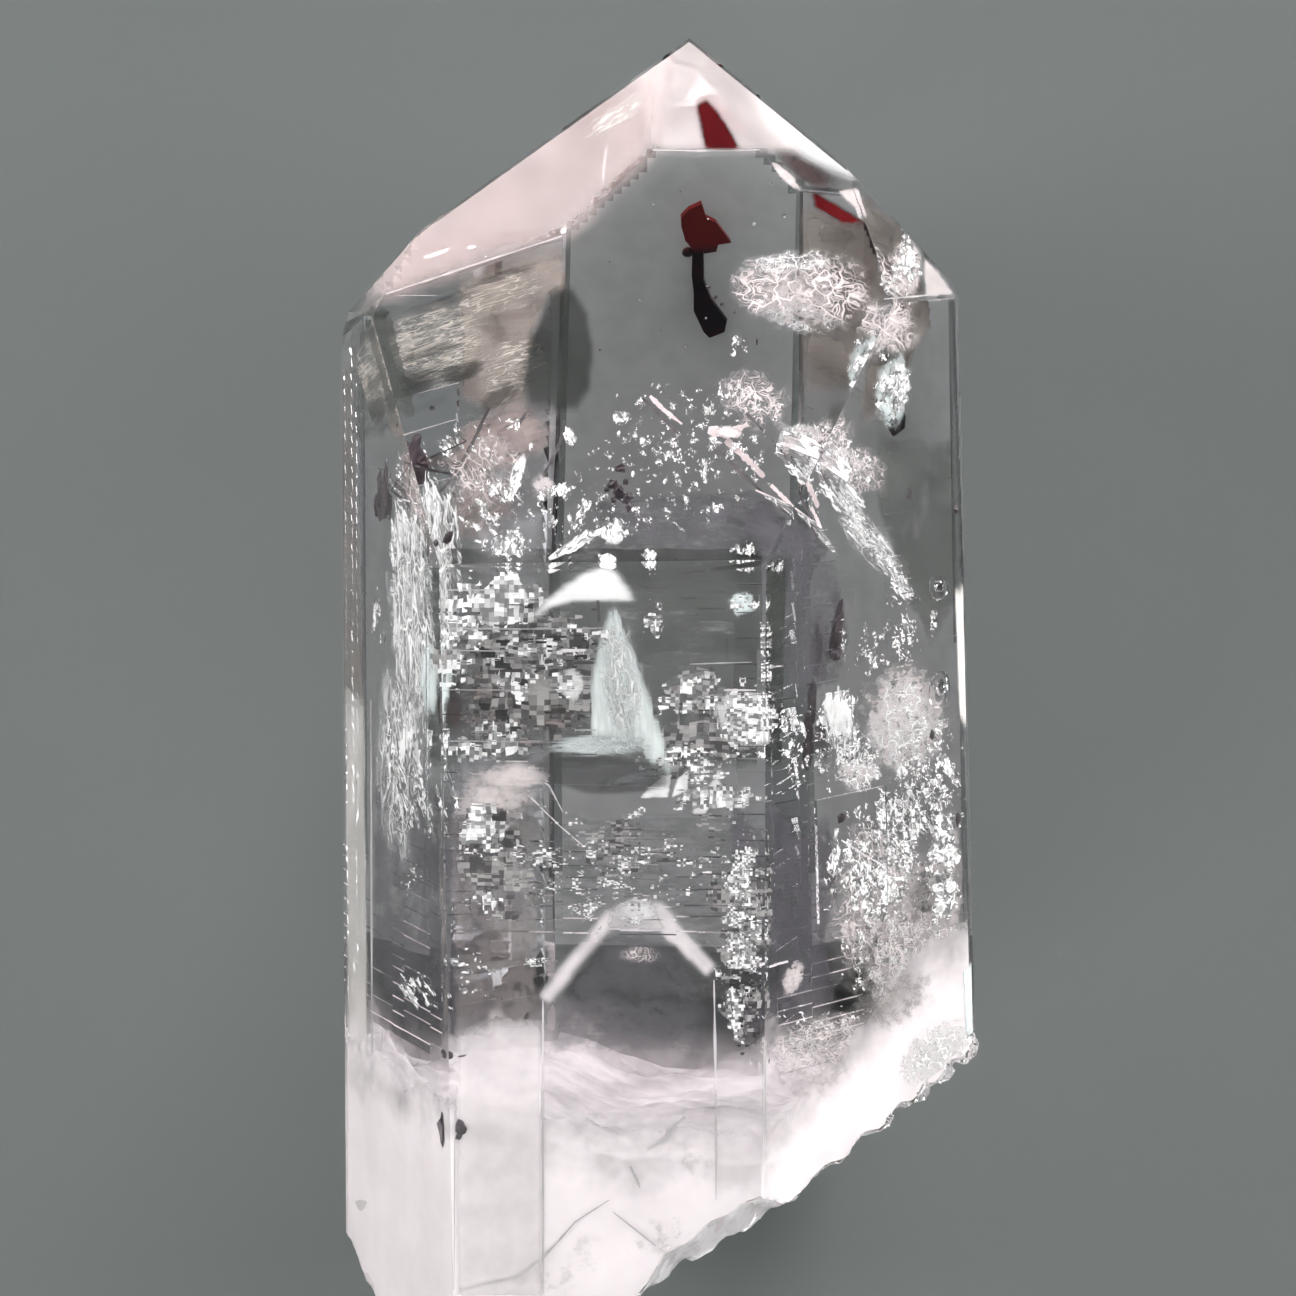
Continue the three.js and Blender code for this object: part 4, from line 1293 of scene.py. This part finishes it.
FAINT_RIBBONS = [
    ([(647, 1149), (664, 1140), (676, 1124), (685, 1117)], 4, 4, 0.2),
    ([(630, 1166), (637, 1180), (640, 1188)], 3.5, 2, 0.2),
    ([(586, 1118), (598, 1126), (616, 1134)], 3, 2, 0.2),
    ([(540, 1262), (575, 1222), (609, 1200)], 1.6, 1.6, 0.2),
    ([(613, 1212), (656, 1246)], 1.4, 1.6, 0.2),
    ([(460, 1290), (520, 1276), (560, 1240)], 1.4, 1.4, 0.2),
    ([(442, 628), (520, 629), (606, 628)], 1.4, 1.2, 0.4),
    ([(442, 590), (480, 590), (500, 589)], 1.2, 1, 0.4),
    ([(442, 650), (500, 651), (540, 650)], 1.2, 1.2, 0.4),
    ([(690, 664), (752, 662)], 1.5, 1.2, 0.4),
    ([(442, 690), (500, 690), (590, 691)], 1.4, 1, 0.4),
    ([(442, 741), (480, 741), (540, 742)], 1.4, 1, 0.4),
    ([(455, 1100), (454, 1290)], 1.2, 1.2, 0.2),
    ([(543, 1090), (543, 1294)], 1.4, 1.4, 0.2),
    ([(716, 1090), (716, 1200)], 1.2, 1.2, 0.2),
    ([(766, 1040), (765, 1160)], 1.2, 1.2, 0.2),
    ([(371, 700), (372, 1000), (374, 1290)], 1.6, 2, 0.5),
    ([(884, 299), (920, 296), (952, 292)], 1.5, 1.5, 0.5),
    ([(386, 294), (470, 266), (562, 236)], 2, 2, 0.25),
    ([(652, 150), (700, 151), (760, 150)], 1.5, 1.5, 0.2),
]

PINK_RIBBONS = [
    ([(708, 430), (728, 434), (748, 424)], 12, 7, 7.5),
    ([(726, 440), (748, 460), (764, 477)], 9, 6, 7.5),
    ([(771, 485), (783, 497), (795, 508)], 5, 3, 5.5),
    ([(650, 396), (664, 410), (682, 424)], 5, 3, 7.5),
]

DARK_RIBBONS = [
    ([(642, 398), (664, 420), (680, 435)], 3, 3, 7.3),
    ([(716, 448), (740, 472), (763, 493)], 4.5, 3.5, 7.3),
    ([(771, 500), (790, 516)], 3.5, 3, 5.3),
    ([(746, 413), (763, 431)], 4, 3, 7.3),
    ([(771, 440), (788, 460)], 3.5, 2.5, 5.3),
    ([(489, 408), (476, 436), (462, 462), (450, 480), (434, 502)], 4, 3, 6.4),
    ([(516, 430), (524, 416), (530, 408)], 3, 2.5, 6.4),
    ([(540, 482), (553, 458), (562, 436), (564, 420)], 3, 3, 6.4),
    ([(404, 462), (430, 470), (452, 474)], 2.5, 3, 6.4),
    ([(598, 600), (599, 622)], 3, 3, 0.5),
    ([(387, 297), (470, 269), (562, 239)], 3, 3, 0.4),
]

# Each mesh of ribbons: its name, ribbons, material's name and colour, and slot
MARKS = [
    ("pale_marks", PALE_RIBBONS, "pale_mark", (0.8, 0.76, 0.78), "milky_quartz"),
    ("faint_marks", FAINT_RIBBONS, "faint_mark", (0.42, 0.4, 0.4), "milky_quartz"),
    ("pink_marks", PINK_RIBBONS, "pink_mark", (0.6, 0.5, 0.5), "milky_quartz"),
    ("dark_marks", DARK_RIBBONS, "dark_mark", (0.03, 0.022, 0.026), "hematite"),
]
MARK_ROUGHNESS = 0.4
SPECK_COLOUR = (0.03, 0.02, 0.025)
RIBBON_STEPS = 8
RIBBON_TIP = 0.35
RIBBON_RAGGED = 0.2


def ribbon_faces(path, first_width, last_width, depth):
    """A ribbon with rounded ends and uneven sides."""
    path = np.array(path, float)
    steps = RIBBON_STEPS * (len(path) - 1) + 1
    spot = np.linspace(0, len(path) - 1, steps)
    x = np.interp(spot, range(len(path)), path[:, 0])
    y = np.interp(spot, range(len(path)), path[:, 1])
    side = np.stack([-np.gradient(y), np.gradient(x)], axis=1)
    side /= np.linalg.norm(side, axis=1)[:, None]
    taper = np.sin(np.linspace(RIBBON_TIP, math.pi - RIBBON_TIP, steps)) ** 0.5
    half = np.linspace(first_width, last_width, steps) / 2 * taper
    half = half * (1 + RIBBON_RAGGED * random.normal(size=steps))
    left = at_depth(x + side[:, 0] * half, y + side[:, 1] * half, depth)
    right = at_depth(x - side[:, 0] * half, y - side[:, 1] * half, depth)
    return np.stack([left[:-1], left[1:], right[1:], right[:-1]], axis=1)


def ribbons(name, listed, material):
    return faces_mesh(name, np.vstack([ribbon_faces(*row) for row in listed]), material)


# Dark specks: middle, half width and half height in pixels, tilt in degrees, depth in mm
DARK_SPECKS = [
    (621, 468, 6, 5, 0, 5), (612, 484, 5, 6, 30, 5), (619, 492, 6, 9, -20, 5), (628, 498, 5, 7, 20, 5),
    (629, 508, 3, 5, 0, 5), (614, 500, 3, 4, 0, 5.2), (607, 490, 3, 3, 0, 5.1), (626, 482, 3, 4, 0, 4.9),
    (383, 498, 7, 7, 30, 3.5), (386, 487, 2, 8, 10, 3.5), (378, 504, 4, 4, 0, 3.5),
    (448, 537, 4, 8, 25, 3), (436, 543, 3, 4, 0, 3), (454, 476, 4, 3, 0, 6.5), (837, 628, 5, 15, 15, 4),
    (836, 652, 5, 5, 30, 4), (828, 700, 3, 4, 0, 3.5), (527, 1016, 2.6, 3, 0, 1),
    (444, 1054, 2.4, 1.4, 20, 0.4), (462, 1056, 5, 1, -10, 0.3), (442, 1130, 2, 5, 0, 0.25),
    (461, 1128, 6, 8, 5, 0.4), (459, 1136, 3, 4, 20, 0.3), (955, 509, 3, 3, 0, 1.2),
    (909, 493, 2.4, 4, 0, 3), (932, 735, 2.5, 3, 0, 2), (958, 819, 2.5, 4, 0, 1), (840, 818, 4, 3, 0, 3),
    (432, 408, 2.5, 3, 0, 4), (716, 297, 2, 2, 0, 9), (722, 304, 2.4, 1.8, 0, 9),
    (708, 287, 2.6, 2, 0, 9.2), (735, 312, 1.6, 2, 0, 9), (837, 271, 4, 2.5, 0, 8.5),
    (760, 281, 2.5, 1.5, 0, 8.5), (757, 342, 1.2, 4, 0, 8.5), (812, 700, 4, 14, 0, 4.5),
    (808, 740, 5, 16, 0, 4.5), (816, 650, 5, 16, 0, 5),
]

# Fluid cavities and gas bubbles, given in the same way. The first two bubbles are in the first cavities.
FLUID_CAVITIES = [
    (940, 690, 9.5, 11, 10, 1.8), (938, 588, 9, 7.5, 0, 1.4), (892, 690, 3, 4, 20, 2),
    (571, 560, 3, 4, 0, 2),
]
GAS_BUBBLES = [
    (941, 688, 4.5, 5, 0, 1.8), (939, 587, 5, 4, 0, 1.4), (706, 318, 1.3, 1.3, 0, 5),
    (754, 224, 2, 2, 0, 5), (784, 216, 2, 2.4, 0, 5), (771, 184, 1.5, 1.5, 0, 5),
    (708, 219, 1.2, 1.2, 0, 3), (680, 192, 1.2, 1.2, 0, 5), (654, 204, 1.4, 1.4, 0, 5),
    (822, 227, 1.5, 1.5, 0, 4), (686, 346, 1.6, 1.6, 0, 5), (797, 592, 1.6, 1.6, 0, 3),
    (807, 621, 1.4, 1.4, 0, 3), (640, 300, 1, 1, 0, 5), (610, 262, 1.2, 1.2, 0, 5),
    (660, 330, 1, 1, 0, 5), (600, 350, 1.2, 1.2, 0, 5),
]

DENT_SCALE = 1.7
DENT_STEP = 3.1


def speck_mesh(name, listed, material, subdivisions, thickness, rough):
    """Small dented balls in one mesh. Each faces the camera and is a little thinner than it is wide."""
    work = bmesh.new()
    for seed, (px, py, half_width, half_height, tilt, depth) in enumerate(listed):
        middle = at_depth(px, py, depth)[0]
        pixel = np.linalg.norm(at_depth(px + 1, py, depth)[0] - middle)
        half_depth = min(half_width, half_height) * pixel * thickness
        size = Matrix.Diagonal((half_width * pixel, half_height * pixel, half_depth))
        turned = FROM_CAMERA @ Matrix.Rotation(math.radians(-tilt), 3, "Z") @ size
        for vert in bmesh.ops.create_icosphere(work, subdivisions=subdivisions, radius=1.0)["verts"]:
            out = vert.co.normalized()
            dent = noise.noise(out * DENT_SCALE + Vector((seed * DENT_STEP, 0, 0))) * rough
            vert.co = turned @ (out * (1 + dent)) + Vector(middle)
    speck = object_of(name, work)
    speck.data.materials.append(material)
    return speck


# Finishing a piece: into the frame, onto the body

def place_piece(obj):
    transform = Matrix.Diagonal((MM, MM, MM, 1)) @ Matrix.Translation(Vector(AXIS))
    obj.data.transform(transform)
    obj.data.update()
    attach(obj, BODY)
    return obj


# Stage

FLOOR_HALF = 3.0
FLOOR_GAP = 0.00012
SKY_COLOUR = (0.9, 0.93, 0.95, 1)
SKY_LOW, SKY_HIGH = 0.09, 0.95
SKY_SPAN = (0.5, 0.85)
MIDDLE = (0, 0, 0.02)
# Softboxes: place, what it points at, size and power
SOFTBOXES = {
    "low_softbox": ((0.3, 1.2, 0.12), MIDDLE, (0.7, 0.2), 120.0),
    "right_softbox": ((1.0, 0.35, 0.2), MIDDLE, (0.6, 0.3), 20.0),
    "left_softbox": ((-1.1, 0.3, 0.2), MIDDLE, (0.6, 0.3), 30.0),
    "rear_left_softbox": ((-0.9, -0.8, 0.16), (0, -0.02, 0.02), (0.5, 0.25), 22.0),
    "rear_softbox": ((0.5, -1.1, 0.3), MIDDLE, (0.5, 0.4), 9.0),
}


def add_floor():
    sides = [(-1, -1), (1, -1), (1, 1), (-1, 1)]
    vertices = [(x * FLOOR_HALF, y * FLOOR_HALF, -FLOOR_GAP) for x, y in sides]
    floor = object_from("floor", vertices, [(0, 1, 2, 3)])
    floor.data.materials.append(floor_material())


def add_softbox(name, place, target, size, power):
    data = bpy.data.lights.new(name, "AREA")
    data.shape = "RECTANGLE"
    data.size, data.size_y = size
    data.energy = power
    light = new_object(name, data)
    light.location = place
    light.rotation_euler = (Vector(target) - Vector(place)).to_track_quat("-Z", "Y").to_euler()


def add_sky():
    """Light from all round, brighter from above."""
    world = bpy.data.worlds.new("studio")
    bpy.context.scene.world = world
    world.use_nodes = True
    tree = world.node_tree
    place = joined(tree, "ShaderNodeTexCoord", {}).outputs["Generated"]
    upward = joined(tree, "ShaderNodeSeparateXYZ", {"Vector": place}).outputs["Z"]
    strength = spread(tree, upward, *SKY_SPAN, SKY_LOW, SKY_HIGH)
    fill(tree, tree.nodes["Background"], {"Color": SKY_COLOUR, "Strength": strength})


def add_camera():
    data = bpy.data.cameras.new("camera")
    data.sensor_width = SENSOR_WIDTH
    data.lens = SENSOR_WIDTH * CAMERA_FOCAL_PX / PHOTO_SIZE
    data.clip_start, data.clip_end = NEAR_LIMIT, FAR_LIMIT
    camera = new_object("camera", data)
    camera.matrix_world = Matrix.Translation(Vector((EYE + AXIS) * MM)) @ FROM_CAMERA.to_4x4()
    bpy.context.scene.camera = camera


def set_view():
    scene = bpy.context.scene
    scene.view_settings.view_transform = "Standard"
    scene.cycles.max_bounces = 6
    scene.cycles.transmission_bounces = 5
    scene.cycles.transparent_max_bounces = 10
    scene.cycles.glossy_bounces = 3
    scene.cycles.diffuse_bounces = 2


def add_crystal():
    crystal = crystal_piece()
    dress(crystal, quartz_material())
    place_piece(crystal)
    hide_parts("quartz_left_half", "quartz_right_half")


def add_milk():
    for number, (inset, start, dense) in enumerate(MILK_SHELLS, 1):
        shell = place_piece(milky_shell(number, inset, start, dense))
        if number == 1:
            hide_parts("milky_phantom")
    place_piece(milky_layers(milk_material("milk_layer", *MILK_LAYER_SPAN)))


def add_veils():
    for name, listed, pattern, roughness in VEILS:
        place_piece(veil_mesh(name, listed, veil_material(name, pattern, roughness)))
    place_piece(break_skin())
    place_piece(back_skin())


def add_marks():
    for name, listed, material_name, colour, slot in MARKS:
        place_piece(ribbons(name, listed, plain_material(material_name, colour, MARK_ROUGHNESS)))
    dark = plain_material("dark_inclusion", SPECK_COLOUR, MARK_ROUGHNESS)
    place_piece(speck_mesh("dark_specks", DARK_SPECKS, dark, 2, thickness=0.8, rough=0.56))
    fluid = clear_material("fluid", WATER_IOR / QUARTZ_IOR)
    place_piece(speck_mesh("fluid_cavities", FLUID_CAVITIES, fluid, 3, thickness=0.7, rough=0.12))
    gas = clear_material("gas", 1 / QUARTZ_IOR)
    place_piece(speck_mesh("gas_bubbles", GAS_BUBBLES, gas, 3, thickness=0.9, rough=0.04))


add_camera()
set_view()
add_crystal()
dress(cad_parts["hematite_inclusion"], hematite_material())
add_milk()
add_veils()
add_marks()
add_floor()
add_sky()
for box_name, box in SOFTBOXES.items():
    add_softbox(box_name, *box)
